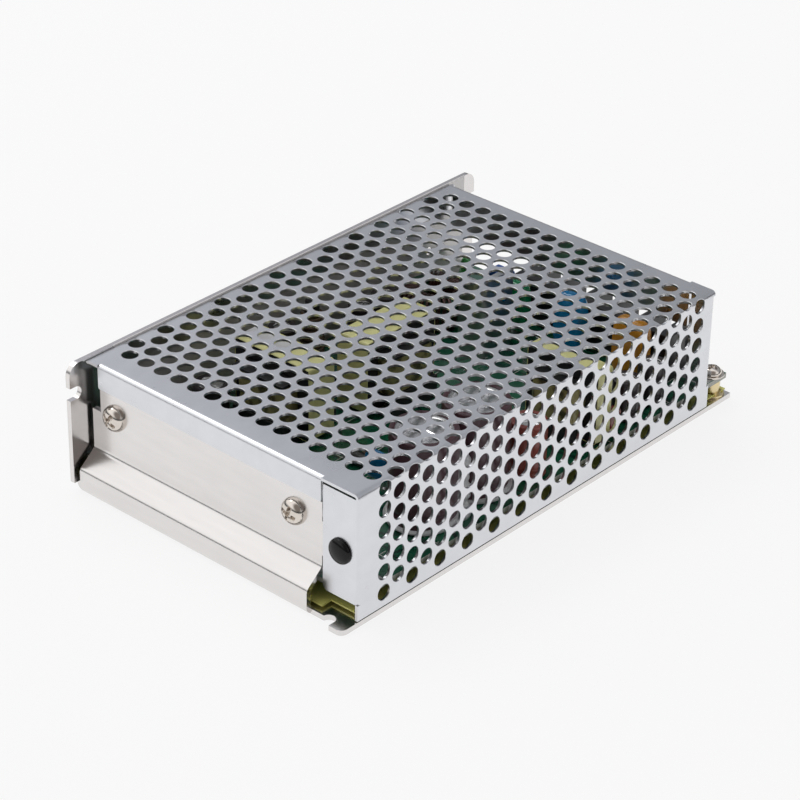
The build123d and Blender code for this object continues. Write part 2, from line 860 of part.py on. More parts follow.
device = power_device()
with BuildPart() as power_devices:
    with Locations(
        *[(x, spreader_face + pad_thickness, device_floor) for x in device_xs]
    ):
        add(device)
finish(power_devices, "power_devices")

with BuildPart() as rectifier:
    with Locations(
        Plane(origin=(sink_x - sink_sheet, rectifier_y, device_floor), x_dir=(0, 1, 0))
    ):
        add(device)
finish(rectifier, "rectifier")

device_screw = pan_screw(
    board_screw_head_radius, board_screw_head_height, m3_shank_radius, device_screw_length
)
with BuildPart() as device_screws:
    for x in device_xs:
        with Locations(Plane(origin=(x, device_face, device_hole_height), z_dir=(0, 1, 0))):
            add(device_screw)
    with Locations(
        Plane(origin=(rectifier_face, rectifier_y, device_hole_height), z_dir=(-1, 0, 0))
    ):
        add(device_screw)
finish(device_screws, "device_screws")

with BuildPart() as rectifier_heat_sink:
    with BuildSketch(Plane.XY.offset(board_top)):
        with BuildLine():
            FilletPolyline(
                (sink_x - sink_short, sink_y),
                (sink_x, sink_y),
                (sink_x, sink_y + sink_long),
                radius=sink_bend,
            )
            offset(amount=sink_sheet, side=Side.LEFT)
        make_face()
    extrude(amount=sink_height)
    with Locations(
        Plane(origin=(sink_x, rectifier_y, device_hole_height), z_dir=(1, 0, 0))
    ):
        Hole(m3_bore_radius, depth=sink_sheet)
finish(rectifier_heat_sink, "rectifier_heat_sink")

# Terminal block with its clamp plates, washers and screws
with BuildPart() as terminal_block:
    with BuildSketch(Plane.XY.offset(board_top)):
        with Locations((terminal_left + terminal_width / 2, terminal_front)):
            Rectangle(terminal_width, terminal_depth, align=(Align.CENTER, Align.MIN))
    extrude(amount=terminal_height)
    with BuildSketch(Plane.XY.offset(terminal_plate)):
        with Locations(*[(x, board_rear) for x in bay_xs]):
            Rectangle(
                bay_width, terminal_depth - terminal_back, align=(Align.CENTER, Align.MAX)
            )
    extrude(amount=terminal_height - terminal_floor, mode=Mode.SUBTRACT)
    with BuildSketch(Plane.XY.offset(terminal_plate)):
        with Locations(*[(x, clamp_y) for x in bay_xs]):
            Rectangle(clamp_well_width, clamp_well_width)
    extrude(amount=-clamp_well_depth, mode=Mode.SUBTRACT)
    # Both ends are cut down beside the last barriers
    with BuildSketch(Plane.XY.offset(board_top + terminal_height)):
        with Locations((terminal_left, board_rear)):
            Rectangle(terminal_ear_width, terminal_ear_depth, align=(Align.MIN, Align.MAX))
        with Locations((terminal_left + terminal_width, board_rear)):
            Rectangle(terminal_ear_width, terminal_ear_depth, align=(Align.MAX, Align.MAX))
    extrude(amount=-terminal_ear_height, mode=Mode.SUBTRACT)
finish(terminal_block, "terminal_block")

with BuildPart() as terminal_clamps:
    with BuildSketch(Plane.XY.offset(terminal_plate)):
        with Locations(*[(x, clamp_y + clamp_shift) for x in bay_xs]):
            Rectangle(clamp_width, clamp_depth)
        with Locations(*[(x, clamp_y) for x in bay_xs]):
            RegularPolygon(
                clamp_shank_radius + thread_gap,
                hidden_sides,
                major_radius=False,
                mode=Mode.SUBTRACT,
            )
    extrude(amount=clamp_thickness)
finish(terminal_clamps, "terminal_clamps")

with BuildPart() as terminal_washers:
    with BuildSketch(Plane.XY.offset(washer_floor)):
        with Locations(*[(x, clamp_y) for x in bay_xs]):
            Rectangle(clamp_washer_width, clamp_washer_width)
            RegularPolygon(
                clamp_shank_radius + thread_gap,
                hidden_sides,
                major_radius=False,
                mode=Mode.SUBTRACT,
            )
    extrude(amount=clamp_washer_thickness)
finish(terminal_washers, "terminal_washers")

clamp_screw = pan_screw(
    clamp_head_radius, clamp_head_height, clamp_shank_radius, clamp_screw_length
)
with BuildPart() as terminal_screws:
    for x in bay_xs:
        with Locations((x, clamp_y, washer_floor + clamp_washer_thickness)):
            add(clamp_screw)
finish(terminal_screws, "terminal_screws")

# Output voltage trimmer: its rotor is turned through the open rear
with BuildPart() as trimmer_body:
    with BuildSketch(across(trimmer_y - trimmer_depth / 2)):
        with Locations((trimmer_x, board_top)):
            Rectangle(trimmer_width, trimmer_height, align=(Align.CENTER, Align.MIN))
    extrude(amount=-trimmer_depth)
    fillet(
        trimmer_body.edges().filter_by(Axis.Y).group_by(Axis.Z)[-1], radius=trimmer_corner
    )
    with BuildSketch(across(trimmer_back)):
        with Locations((trimmer_x, trimmer_axis)):
            Circle(rotor_radius + rotor_gap)
    extrude(amount=rotor_depth + rotor_gap, mode=Mode.SUBTRACT)
finish(trimmer_body, "trimmer_body")

with BuildPart() as trimmer_rotor:
    with BuildSketch(across(trimmer_back + rotor_face)):
        with Locations((trimmer_x, trimmer_axis)):
            Circle(rotor_radius)
    extrude(amount=rotor_face + rotor_depth)
    with BuildSketch(across(trimmer_back + rotor_face)):
        with Locations((trimmer_x, trimmer_axis)):
            Rectangle(rotor_slot_length, rotor_slot)
            Rectangle(rotor_slot, rotor_slot_length)
    extrude(amount=rotor_slot_depth, mode=Mode.SUBTRACT)
finish(trimmer_rotor, "trimmer_rotor")

# Lamp: a clear green lens on two leads
with BuildPart() as power_led:
    with Locations((led_x, led_y, board_top + led_foot)):
        Cylinder(
            led_rim_radius, led_rim_height, align=(Align.CENTER, Align.CENTER, Align.MIN)
        )
        Cylinder(led_radius, led_height, align=(Align.CENTER, Align.CENTER, Align.MIN))
    chamfer(power_led.faces().sort_by(Axis.Z)[-1].edges(), length=led_edge)
    with BuildSketch(Plane.XY.offset(board_top)):
        with Locations((led_x, led_y)):
            with GridLocations(led_lead_pitch, 0, 2, 1):
                Rectangle(led_lead, led_lead)
    extrude(amount=led_foot)
finish(power_led, "power_led")

# Electrolytic capacitors: the large ones as a can in a shrink sleeve, the small ones whole
with BuildPart() as input_capacitor_cans:
    with BuildSketch(Plane.XY.offset(board_top)):
        with Locations(*input_can_points):
            Circle(input_can_radius)
    extrude(amount=input_can_height)
finish(input_capacitor_cans, "input_capacitor_cans")

with BuildPart() as input_capacitor_sleeves:
    with BuildSketch(Plane.XY.offset(board_top + can_base)):
        with Locations(*input_can_points):
            Circle(input_can_radius + sleeve_thickness)
            Circle(input_can_radius, mode=Mode.SUBTRACT)
    extrude(amount=input_can_height - can_base)
finish(input_capacitor_sleeves, "input_capacitor_sleeves")

with BuildPart() as small_capacitors:
    for x, y, radius, height in small_cans:
        with Locations((x, y, board_top)):
            Cylinder(radius, height, align=(Align.CENTER, Align.CENTER, Align.MIN))
finish(small_capacitors, "small_capacitors")

# Silicone run down beside the front one of the large cans
with BuildPart() as silicone_bead:
    with BuildSketch(Plane.XY.offset(board_top)):
        with Locations((silicone_x, silicone_y)):
            Circle(silicone_radius)
        with Locations(*input_can_points):
            Circle(input_can_radius + sleeve_thickness + silicone_gap, mode=Mode.SUBTRACT)
    extrude(amount=silicone_height)
finish(silicone_bead, "silicone_bead")

# Film and disc capacitors: dipped bodies on two leads
for name, x, y, width, thickness, height, foot in dipped_capacitors:
    with BuildPart() as dipped:
        with BuildSketch(Plane.XY.offset(board_top + foot)):
            with Locations((x, y)):
                Rectangle(width, thickness)
        extrude(amount=height)
        edge = dipped_edge * min(width, thickness)
        chamfer(dipped.edges().filter_by(Axis.Z), length=edge)
        chamfer(dipped.faces().sort_by(Axis.Z)[-1].edges(), length=edge)
        with BuildSketch(Plane.XY.offset(board_top)):
            with Locations((x, y)):
                with GridLocations(width * dipped_lead_spread, 0, 2, 1):
                    Rectangle(dipped_lead, dipped_lead)
        extrude(amount=foot)
    finish(dipped, name)

with BuildPart() as box_capacitor:
    with BuildSketch(Plane.XY.offset(board_top)):
        with Locations((box_x, box_y)):
            Rectangle(box_width, box_depth)
    extrude(amount=box_height)
    chamfer(box_capacitor.faces().sort_by(Axis.Z)[-1].edges(), length=box_chamfer)
finish(box_capacitor, "box_capacitor")

# Filter choke: a ring core laid flat, with a winding on each half
with BuildPart() as filter_choke_core:
    with BuildSketch(Plane.XY.offset(board_top + wire_wrap + wire_gap)):
        with Locations((ring_x, ring_y)):
            Circle(ring_outer)
            Circle(ring_inner, mode=Mode.SUBTRACT)
    extrude(amount=ring_height)
finish(filter_choke_core, "filter_choke_core")

with BuildPart() as filter_choke_windings:
    for middle in (90, 270):
        start = middle - ring_arc / 2
        section = Plane(
            origin=(ring_x, ring_y, board_top),
            x_dir=Vector(1, 0, 0).rotate(Axis.Z, start),
            z_dir=Vector(0, -1, 0).rotate(Axis.Z, start),
        )
        with BuildSketch(section) as coil:
            with Locations((ring_middle, wire_wrap + wire_gap + ring_height / 2)):
                Rectangle(
                    wire_section + 2 * wire_wrap,
                    ring_height + 2 * (wire_wrap + wire_gap),
                )
            chamfer(coil.vertices(), length=wire_wrap)
            with Locations((ring_middle, wire_wrap + wire_gap + ring_height / 2)):
                Rectangle(wire_section, ring_height + 2 * wire_gap, mode=Mode.SUBTRACT)
        revolve(axis=Axis((ring_x, ring_y, 0), (0, 0, 1)), revolution_arc=ring_arc)
finish(filter_choke_windings, "filter_choke_windings")

# Rod choke beside the left wall
with BuildPart() as rod_choke_core:
    with Locations((rod_x, rod_y, board_top)):
        Cylinder(rod_radius, rod_height, align=(Align.CENTER, Align.CENTER, Align.MIN))
finish(rod_choke_core, "rod_choke_core")

with BuildPart() as rod_choke_winding:
    with BuildSketch(Plane.XY.offset(board_top + rod_wire_floor)):
        with Locations((rod_x, rod_y)):
            Circle(rod_wire_radius)
            Circle(rod_radius + wire_gap, mode=Mode.SUBTRACT)
    extrude(amount=rod_wire_height)
finish(rod_choke_winding, "rod_choke_winding")

# Glass fuse in two clips
with BuildPart() as fuse:
    with BuildSketch(Plane.YZ.offset(fuse_x - fuse_length / 2)):
        with Locations((fuse_y, board_top + fuse_height)):
            RegularPolygon(fuse_glass_radius, screw_sides)
    extrude(amount=fuse_length)
    for cap_x in (fuse_x - fuse_length / 2, fuse_x + fuse_length / 2 - fuse_cap):
        with BuildSketch(Plane.YZ.offset(cap_x)):
            with Locations((fuse_y, board_top + fuse_height)):
                RegularPolygon(fuse_radius, screw_sides)
        extrude(amount=fuse_cap)
finish(fuse, "fuse")

with BuildPart() as fuse_clips:
    with Locations((fuse_x, fuse_y, board_top)):
        with GridLocations(fuse_length - clip_width, 0, 2, 1):
            Box(
                clip_width,
                2 * (fuse_radius + clip_sheet + wire_gap),
                fuse_height + fuse_radius,
                align=(Align.CENTER, Align.CENTER, Align.MIN),
            )
    with Locations((fuse_x, fuse_y, board_top + clip_sheet)):
        Box(
            fuse_length,
            2 * (fuse_radius + wire_gap),
            fuse_height + fuse_radius,
            align=(Align.CENTER, Align.CENTER, Align.MIN),
            mode=Mode.SUBTRACT,
        )
finish(fuse_clips, "fuse_clips")

# Chips and optocouplers: flat bodies with a row of pins along each side
for name, chips in (("control_chips", control_chips_at), ("optocouplers", optocouplers_at)):
    with BuildPart() as flat:
        for x, y, length, pins in chips:
            with BuildSketch(Plane.XY.offset(board_top + chip_foot)):
                with Locations((x, y)):
                    Rectangle(chip_width, length)
            extrude(amount=chip_height)
            with BuildSketch(Plane.XY.offset(board_top)):
                with Locations((x, y)):
                    with GridLocations(chip_width + pin_width, pin_pitch, 2, pins):
                        Rectangle(pin_width, pin_length)
            extrude(amount=chip_foot + chip_height / 2)
    finish(flat, name)


# Axial parts
def axial_part(body_length, body_radius, span):
    """Axial part lying along X on Z=0, with its two leads bent down at the ends."""
    with BuildPart() as part:
        with BuildSketch(Plane.YZ.offset(-body_length / 2)):
            with Locations((0, body_radius)):
                RegularPolygon(body_radius, hidden_sides)
        extrude(amount=body_length)
        with Locations((0, 0, body_radius)):
            Box(span, axial_lead, axial_lead)
        with BuildSketch():
            with GridLocations(span - axial_lead, 0, 2, 1):
                Rectangle(axial_lead, axial_lead)
        extrude(amount=body_radius)
    return part.part


with BuildPart() as resistors:
    with Locations(*[(x, y, board_top) for x, y in resistor_points]):
        add(axial_part(resistor_length, resistor_radius, resistor_span))
finish(resistors, "resistors")

with BuildPart() as diodes:
    with Locations(*[(x, y, board_top) for x, y in diode_points]):
        add(axial_part(diode_length, diode_radius, diode_span))
finish(diodes, "diodes")
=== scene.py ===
import math

import bmesh
import bpy
import numpy as np
from mathutils import Matrix, Vector


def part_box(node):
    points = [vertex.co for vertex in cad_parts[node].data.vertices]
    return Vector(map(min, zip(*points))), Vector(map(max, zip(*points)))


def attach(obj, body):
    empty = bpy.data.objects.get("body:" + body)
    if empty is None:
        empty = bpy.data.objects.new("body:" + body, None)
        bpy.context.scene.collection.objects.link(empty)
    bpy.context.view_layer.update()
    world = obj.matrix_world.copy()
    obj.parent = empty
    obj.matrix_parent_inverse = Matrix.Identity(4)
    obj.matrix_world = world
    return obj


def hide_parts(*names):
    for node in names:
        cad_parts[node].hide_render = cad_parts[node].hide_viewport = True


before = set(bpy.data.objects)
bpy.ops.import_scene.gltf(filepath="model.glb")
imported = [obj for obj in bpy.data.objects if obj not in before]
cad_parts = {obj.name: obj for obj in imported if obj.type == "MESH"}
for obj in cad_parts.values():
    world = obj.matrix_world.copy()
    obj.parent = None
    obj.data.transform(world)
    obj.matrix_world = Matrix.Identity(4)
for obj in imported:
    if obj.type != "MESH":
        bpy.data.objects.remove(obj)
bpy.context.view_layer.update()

# Camera: the photo's view, from above the front right corner with a long lens. The numbers come
# from matching the case's corners.
camera_data = bpy.data.cameras.new("camera")
camera_data.lens = 126.73
camera_data.sensor_width = 36
camera_data.shift_x = -0.000675
camera_data.shift_y = -0.00155
camera_data.clip_end = 20
camera = bpy.data.objects.new("camera", camera_data)
back = np.array((0.5700, -0.6466, 0.5069))
back /= np.linalg.norm(back)
right = np.array((0.7436, 0.6684, 0.0164))
right -= back * (right @ back)
right /= np.linalg.norm(right)
up = np.cross(back, right)
stand = np.array((0.42865, -0.49078, 0.39690))
turned = np.eye(4)
turned[:3] = np.stack((right, up, back, stand), axis=1)
camera.matrix_world = Matrix(turned.tolist())
bpy.context.collection.objects.link(camera)
bpy.context.scene.camera = camera

# Cover: the perforated sheet, drawn as the flat blank and then folded. Each hole has a brick of
# sheet round it, and the bricks of every second row are moved by half a pitch, so that their
# corners meet. The helpers for meshes and finishes that all pieces share are here too.


def node(tree, kind, **values):
    """New shader node; values go to its inputs if it has one of that name, and to its settings if not."""
    new = tree.nodes.new(kind)
    for name, value in values.items():
        name = name.replace("_", " ")
        if name in new.inputs:
            new.inputs[name].default_value = value
        else:
            setattr(new, name.replace(" ", "_"), value)
    return new


def calc(tree, operation, *values):
    """New math node; values go to its inputs in turn, and a None leaves its input to a link."""
    new = node(tree, "ShaderNodeMath", operation=operation)
    for socket, value in zip(new.inputs, values):
        if value is not None:
            socket.default_value = value
    return new


def ramp(tree, *stops):
    """New colour ramp through (position, colour) stops in rising order."""
    new = node(tree, "ShaderNodeValToRGB")
    elements = new.color_ramp.elements
    for position, _ in stops[1:-1]:
        elements.new(position)
    for element, (position, color) in zip(elements, stops):
        element.position = position
        element.color = (*color, 1)
    return new


def connect(tree, *pairs):
    """Links from the first socket of each pair to the second."""
    for start, end in pairs:
        tree.links.new(start, end)


surface = bpy.data.node_groups.new("surface", "ShaderNodeTree")
for socket, kind in (
    ("Color", "NodeSocketColor"),
    ("Roughness", "NodeSocketFloat"),
    ("Mottle", "NodeSocketFloat"),
    ("Scale", "NodeSocketFloat"),
    ("Stretch", "NodeSocketVector"),
):
    surface.interface.new_socket(socket, in_out="INPUT", socket_type=kind)
for socket, kind in (
    ("Color", "NodeSocketColor"),
    ("Roughness", "NodeSocketFloat"),
    ("Height", "NodeSocketFloat"),
):
    surface.interface.new_socket(socket, in_out="OUTPUT", socket_type=kind)
given = node(surface, "NodeGroupInput")
made = node(surface, "NodeGroupOutput")
place = node(surface, "ShaderNodeTexCoord")
stretched = node(surface, "ShaderNodeVectorMath", operation="MULTIPLY")
slow = node(surface, "ShaderNodeTexNoise", Detail=3.0)
fine = node(surface, "ShaderNodeTexNoise", Detail=2.0)
slow_scale = calc(surface, "MULTIPLY", None, 0.12)
both = calc(surface, "ADD")
level = calc(surface, "SUBTRACT", None, 1.0)
change = calc(surface, "MULTIPLY")
gain = calc(surface, "ADD", None, 1.0)
tinted = node(surface, "ShaderNodeVectorMath", operation="SCALE")
rougher = calc(surface, "MULTIPLY")
connect(
    surface,
    (place.outputs["Object"], stretched.inputs[0]),
    (given.outputs["Stretch"], stretched.inputs[1]),
    (stretched.outputs[0], fine.inputs["Vector"]),
    (given.outputs["Scale"], fine.inputs["Scale"]),
    (place.outputs["Object"], slow.inputs["Vector"]),
    (given.outputs["Scale"], slow_scale.inputs[0]),
    (slow_scale.outputs[0], slow.inputs["Scale"]),
    (slow.outputs[0], both.inputs[0]),
    (fine.outputs[0], both.inputs[1]),
    (both.outputs[0], level.inputs[0]),
    (level.outputs[0], change.inputs[0]),
    (given.outputs["Mottle"], change.inputs[1]),
    (change.outputs[0], gain.inputs[0]),
    (given.outputs["Color"], tinted.inputs[0]),
    (gain.outputs[0], tinted.inputs["Scale"]),
    (tinted.outputs[0], made.inputs["Color"]),
    (given.outputs["Roughness"], rougher.inputs[0]),
    (gain.outputs[0], rougher.inputs[1]),
    (rougher.outputs[0], made.inputs["Roughness"]),
    (fine.outputs[0], made.inputs["Height"]),
)


def finish(
    name, color, roughness, mottle=0.2, scale=400, stretch=(1, 1, 1), bump=0.1, metallic=0.0, coat=0.0, **more
):
    """Material from the shared surface group: colour and roughness vary by mottle, and the fine noise, scaled
    by scale and drawn out by stretch, gives the bump. More values go to the shader by their names."""
    material = bpy.data.materials.new(name)
    material.use_nodes = True
    tree = material.node_tree
    shader = tree.nodes["Principled BSDF"]
    shader.inputs["Metallic"].default_value = metallic
    shader.inputs["Coat Weight"].default_value = coat
    shader.inputs["Coat Roughness"].default_value = 0.08
    for socket, value in more.items():
        shader.inputs[socket.replace("_", " ")].default_value = value
    group = node(tree, "ShaderNodeGroup", node_tree=surface, name="surface")
    for socket, value in (
        ("Color", (*color, 1)),
        ("Roughness", roughness),
        ("Mottle", mottle),
        ("Scale", scale),
        ("Stretch", stretch),
    ):
        group.inputs[socket].default_value = value
    relief = node(tree, "ShaderNodeBump", Strength=bump, Distance=0.0002)
    connect(
        tree,
        (group.outputs["Color"], shader.inputs["Base Color"]),
        (group.outputs["Roughness"], shader.inputs["Roughness"]),
        (group.outputs["Height"], relief.inputs["Height"]),
        (relief.outputs[0], shader.inputs["Normal"]),
    )
    return material


def grid(rows, columns, round_rows=False, round_columns=False):
    """Quads of a grid of vertices that is stored row by row; a round direction closes on itself."""
    r = np.arange(rows if round_rows else rows - 1)[:, None]
    c = np.arange(columns if round_columns else columns - 1)[None, :]
    next_r = (r + 1) % rows
    next_c = (c + 1) % columns
    corners = (r * columns + c, r * columns + next_c, next_r * columns + next_c, next_r * columns + c)
    return np.stack([np.broadcast_to(k, (r.size, c.size)).ravel() for k in corners], axis=1)


def join(*shapes):
    """Several (vertices, quads) as one."""
    starts = np.cumsum([0] + [len(v) for v, q in shapes[:-1]])
    return (
        np.concatenate([v.reshape(-1, 3) for v, q in shapes]),
        np.concatenate([q + start for (v, q), start in zip(shapes, starts)]),
    )


def piece(name, shape, material, replaces=(), body="case", smooth=35, bevel=0):
    """New piece from (vertices in millimetres, quads): equal places are merged, so that a quad with one side
    of no length becomes a triangle, and edges sharper than smooth degrees stay sharp."""
    vertices, quads = shape
    places, back_to = np.unique(np.round(vertices, 4), axis=0, return_inverse=True)
    quads = back_to.reshape(-1)[quads]
    different = quads != np.roll(quads, 1, axis=1)
    whole = quads[different.all(axis=1)].tolist()
    pinched = different.sum(axis=1) == 3
    triangles = quads[pinched][different[pinched]].reshape(-1, 3).tolist()
    mesh = bpy.data.meshes.new(name)
    mesh.from_pydata((places * 0.001).tolist(), [], whole + triangles)
    work = bmesh.new()
    work.from_mesh(mesh)
    bmesh.ops.recalc_face_normals(work, faces=work.faces)
    work.to_mesh(mesh)
    work.free()
    return dress(name, mesh, material, replaces, body, smooth, bevel)


def dress(name, mesh, material, replaces, body, smooth, bevel, round_from=50):
    """The object of a piece, with its finish, shading and body, and a bevel that many millimetres wide
    on the edges sharper than round_from degrees."""
    mesh.materials.clear()
    mesh.materials.append(material)
    mesh.shade_smooth()
    mesh.set_sharp_from_angle(angle=math.radians(smooth))
    made = bpy.data.objects.new(name, mesh)
    bpy.context.collection.objects.link(made)
    if bevel:
        edges = made.modifiers.new("edges", "BEVEL")
        edges.width = bevel * 0.001
        edges.segments = 2
        edges.limit_method = "ANGLE"
        edges.angle_limit = math.radians(round_from)
        edges.harden_normals = True
    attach(made, body)
    if replaces:
        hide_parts(*replaces)
    return made


def refined(name, material, bevel=0.12, body="case", smooth=35, round_from=50):
    """Copy of a CAD node, which it replaces, with its triangles merged into faces and its edges bevelled."""
    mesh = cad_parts[name].data.copy()
    work = bmesh.new()
    work.from_mesh(mesh)
    bmesh.ops.remove_doubles(work, verts=work.verts, dist=2e-6)
    bmesh.ops.dissolve_limit(work, angle_limit=math.radians(0.5), verts=work.verts, edges=work.edges)
    bmesh.ops.recalc_face_normals(work, faces=work.faces)
    work.to_mesh(mesh)
    work.free()
    return dress(name + "_piece", mesh, material, (name,), body, smooth, bevel, round_from)


def slab(outer, inner, walls=(1, 1, 1, 1)):
    """Sheet between two grids of the same shape, with a wall at the first row, last row, first column and
    last column."""
    rows, columns = outer.shape[:2]
    count = rows * columns
    index = np.arange(count).reshape(rows, columns)
    faces = [grid(rows, columns), grid(rows, columns)[:, ::-1] + count]
    for edge, wanted in zip((index[0], index[-1], index[:, 0], index[:, -1]), walls):
        if wanted:
            faces.append(np.stack((edge[:-1], edge[1:], edge[1:] + count, edge[:-1] + count), axis=1))
    return np.concatenate((outer.reshape(-1, 3), inner.reshape(-1, 3))), np.concatenate(faces)


hole_radius, pitch, row_pitch, sheet = 2.2, 6.05, 5.2395, 0.8
rim_chamfer = 0.12
holes_across, hole_rows, first_row_margin = 21, 25, 9.6
case_top, case_side, cover_front, cover_rear = 38.0, 48.5, -73.9, 68.4
# Across the blank: its two ends, and where the small fold and the long fold begin and end
blank_left, left_end, left_start = -54.385, -47.585, -45.7
fold_start, fold_end, blank_foot = 47.275, 49.54, 84.55
fold_radius = 1.2
# Along the case: the lines where the flaps leave the flat sheet
front_root, rear_root = -70.0, 65.8


def folded(s, y, depth):
    """Place in the case of a point of the blank. s runs over the top, round the long fold and down the
    side, the fold being a quarter circle in s; left of the top it runs round the small fold and down."""
    turn = np.clip((s - fold_start) / (fold_end - fold_start), 0, 1) * math.pi / 2
    left = np.clip((left_start - s) / (left_start - left_end), 0, 1) * math.pi / 2
    reach = fold_radius - depth
    x = np.clip(s, left_start, fold_start) - reach * np.sin(left)
    x = x + (reach + case_side - fold_radius - fold_start) * np.sin(turn)
    z = case_top - fold_radius + reach * (np.cos(turn) + np.cos(left) - 1)
    z = z - np.maximum(s - fold_end, 0) - np.maximum(left_end - s, 0)
    return np.stack((x, y, z), axis=-1)


# Bricks: the border has 8 steps across and 6 along, and the rim of the hole a point for each of them.
# A brick on the long fold has more rings between the two, so that it bends well.
across = np.arange(8) / 4 - 1
along = np.arange(6) / 3 - 1
border = np.concatenate(
    (
        np.stack((across, -np.ones(8)), axis=1),
        np.stack((np.ones(6), along), axis=1),
        np.stack((-across, np.ones(8)), axis=1),
        np.stack((-np.ones(6), -along), axis=1),
    )
) * (pitch / 2, row_pitch / 2)
sides = len(border)
angle = math.radians(-90) + (np.arange(sides) - 4) * 2 * math.pi / sides
circle = np.stack((np.cos(angle), np.sin(angle)), axis=1)
rows = np.arange(hole_rows)[:, None]
first_row = cover_front + first_row_margin
middle_s = 1.9 + pitch * (np.arange(holes_across) - 7 - (rows % 2) / 2)
middle_y = np.broadcast_to(first_row + row_pitch * rows, middle_s.shape)
centres = np.stack((middle_s, middle_y), axis=-1).reshape(-1, 2)
on_fold = np.abs(centres[:, 0] - (fold_start + fold_end) / 2) < 3.2
flat_points, flat_quads, rims = [], [], []


def laid():
    """Number of points laid out on the blank so far."""
    return sum(len(points) for points in flat_points)


for chosen, steps in ((~on_fold, 1), (on_fold, 4)):
    middles = centres[chosen]
    mixes = np.linspace(0, 1, steps + 1)[None, :, None, None]
    rings = middles[:, None, None, :] + border * (1 - mixes) + circle * (hole_radius + rim_chamfer) * mixes
    quads = grid(steps + 1, sides, round_columns=True)
    starts = laid() + np.arange(len(middles)) * (steps + 1) * sides
    flat_points.append(rings.reshape(-1, 2))
    flat_quads.append((quads[None] + starts[:, None, None]).reshape(-1, 4))
    rims.append((starts[:, None] + steps * sides + np.arange(sides), middles))

# Strips between the bricks and the edges of the blank, on lines that meet the bricks' points. Where a
# row is moved, the strip fills the half brick that is left at its end.
s_lines = np.concatenate(((blank_left, left_end, -47.04), -46.5 + pitch / 8 * np.arange(173), (blank_foot,)))
row_lines = first_row - row_pitch / 2 + row_pitch / 6 * np.arange(6 * hole_rows + 1)


def strip(s, y, keep=None):
    """Adds a grid of the blank; keep says which of its quads stay."""
    quads = grid(*s.shape)
    if keep is not None:
        quads = quads[keep.ravel()]
    flat_quads.append(quads + laid())
    flat_points.append(np.stack((s, y), axis=-1).reshape(-1, 2))


every = np.ones(6 * hole_rows, dtype=bool)
moved = (np.arange(6 * hole_rows) // 6) % 2 == 1
for lines, wanted in (
    (s_lines[:4], every),
    (s_lines[3:8], ~moved),
    (s_lines[171:176], moved),
    (s_lines[175:177], every),
):
    s, y = np.meshgrid(lines, row_lines)
    strip(s, y, np.repeat(wanted[:, None], len(lines) - 1, axis=1))

# The two ends: four lines along the case each. From the second one on, the spans where a flap leaves the
# sheet stay open, as (first line, last line, their places across) for the top flap and the side flap.
# At the front the hook flange and its fold begin behind the ear of the left wall.
end_lines = {
    -1: (row_lines[0], front_root, -72.7, cover_front),
    1: (row_lines[-1], rear_root, 67.2, cover_rear),
}
flap_spans = {
    -1: ((8, 112, -42.4, 36.2), (130, 170, 49.74, 80.04)),
    1: ((5, 118, -45.0, 40.4), (130, 167, 49.74, 77.84)),
}
for end, lines in end_lines.items():
    s, y = np.meshgrid(s_lines, np.array(lines))
    keep = np.ones((3, len(s_lines) - 1), dtype=bool)
    keep[:, :2] = end > 0
    for first, last, low, high in flap_spans[end]:
        s[1:, first] = low
        s[1:, last] = high
        keep[1:, first:last] = False
    strip(s, y, keep)

# Both faces of the sheet, folded, then the walls of the holes with their chamfered rims, and the walls
# along the free edges, which are the ones that a single quad has.
points, back_to = np.unique(np.round(np.concatenate(flat_points), 4), axis=0, return_inverse=True)
back_to = back_to.reshape(-1)
quads = back_to[np.concatenate(flat_quads)]
total = len(points)
outer = folded(points[:, 0], points[:, 1], 0.0)
inner = folded(points[:, 0], points[:, 1], sheet)
on_rim = np.zeros(total, dtype=bool)
hole_vertices, hole_quads = [], []
start = 2 * total
for rim, middles in rims:
    rim = back_to[rim]
    on_rim[rim.ravel()] = True
    wall = middles[:, None, :] + circle * hole_radius
    for depth in (rim_chamfer, sheet - rim_chamfer):
        hole_vertices.append(folded(wall[..., 0], wall[..., 1], depth).reshape(-1, 3))
    upper = start + np.arange(rim.size).reshape(rim.shape)
    lower = upper + rim.size
    for a, b in ((rim, upper), (upper, lower), (lower, rim + total)):
        next_a, next_b = np.roll(a, -1, axis=1), np.roll(b, -1, axis=1)
        hole_quads.append(np.stack((a, next_a, next_b, b), axis=-1).reshape(-1, 4))
    start += 2 * rim.size
edges = np.sort(np.stack((quads, np.roll(quads, -1, axis=1)), axis=-1).reshape(-1, 2), axis=1)
edges, uses = np.unique(edges, axis=0, return_counts=True)
edges = edges[(uses == 1) & ~on_rim[edges].all(axis=1)]
edge_y = points[edges][:, :, 1]
at_root = ((np.abs(edge_y - front_root) < 0.01) | (np.abs(edge_y - rear_root) < 0.01)).all(axis=1)
edges = edges[~at_root]
walls = np.stack((edges[:, 0], edges[:, 1], edges[:, 1] + total, edges[:, 0] + total), axis=1)
blank = (
    np.concatenate([outer, inner] + hole_vertices),
    np.concatenate([quads, quads[:, ::-1] + total, walls] + hole_quads),
)


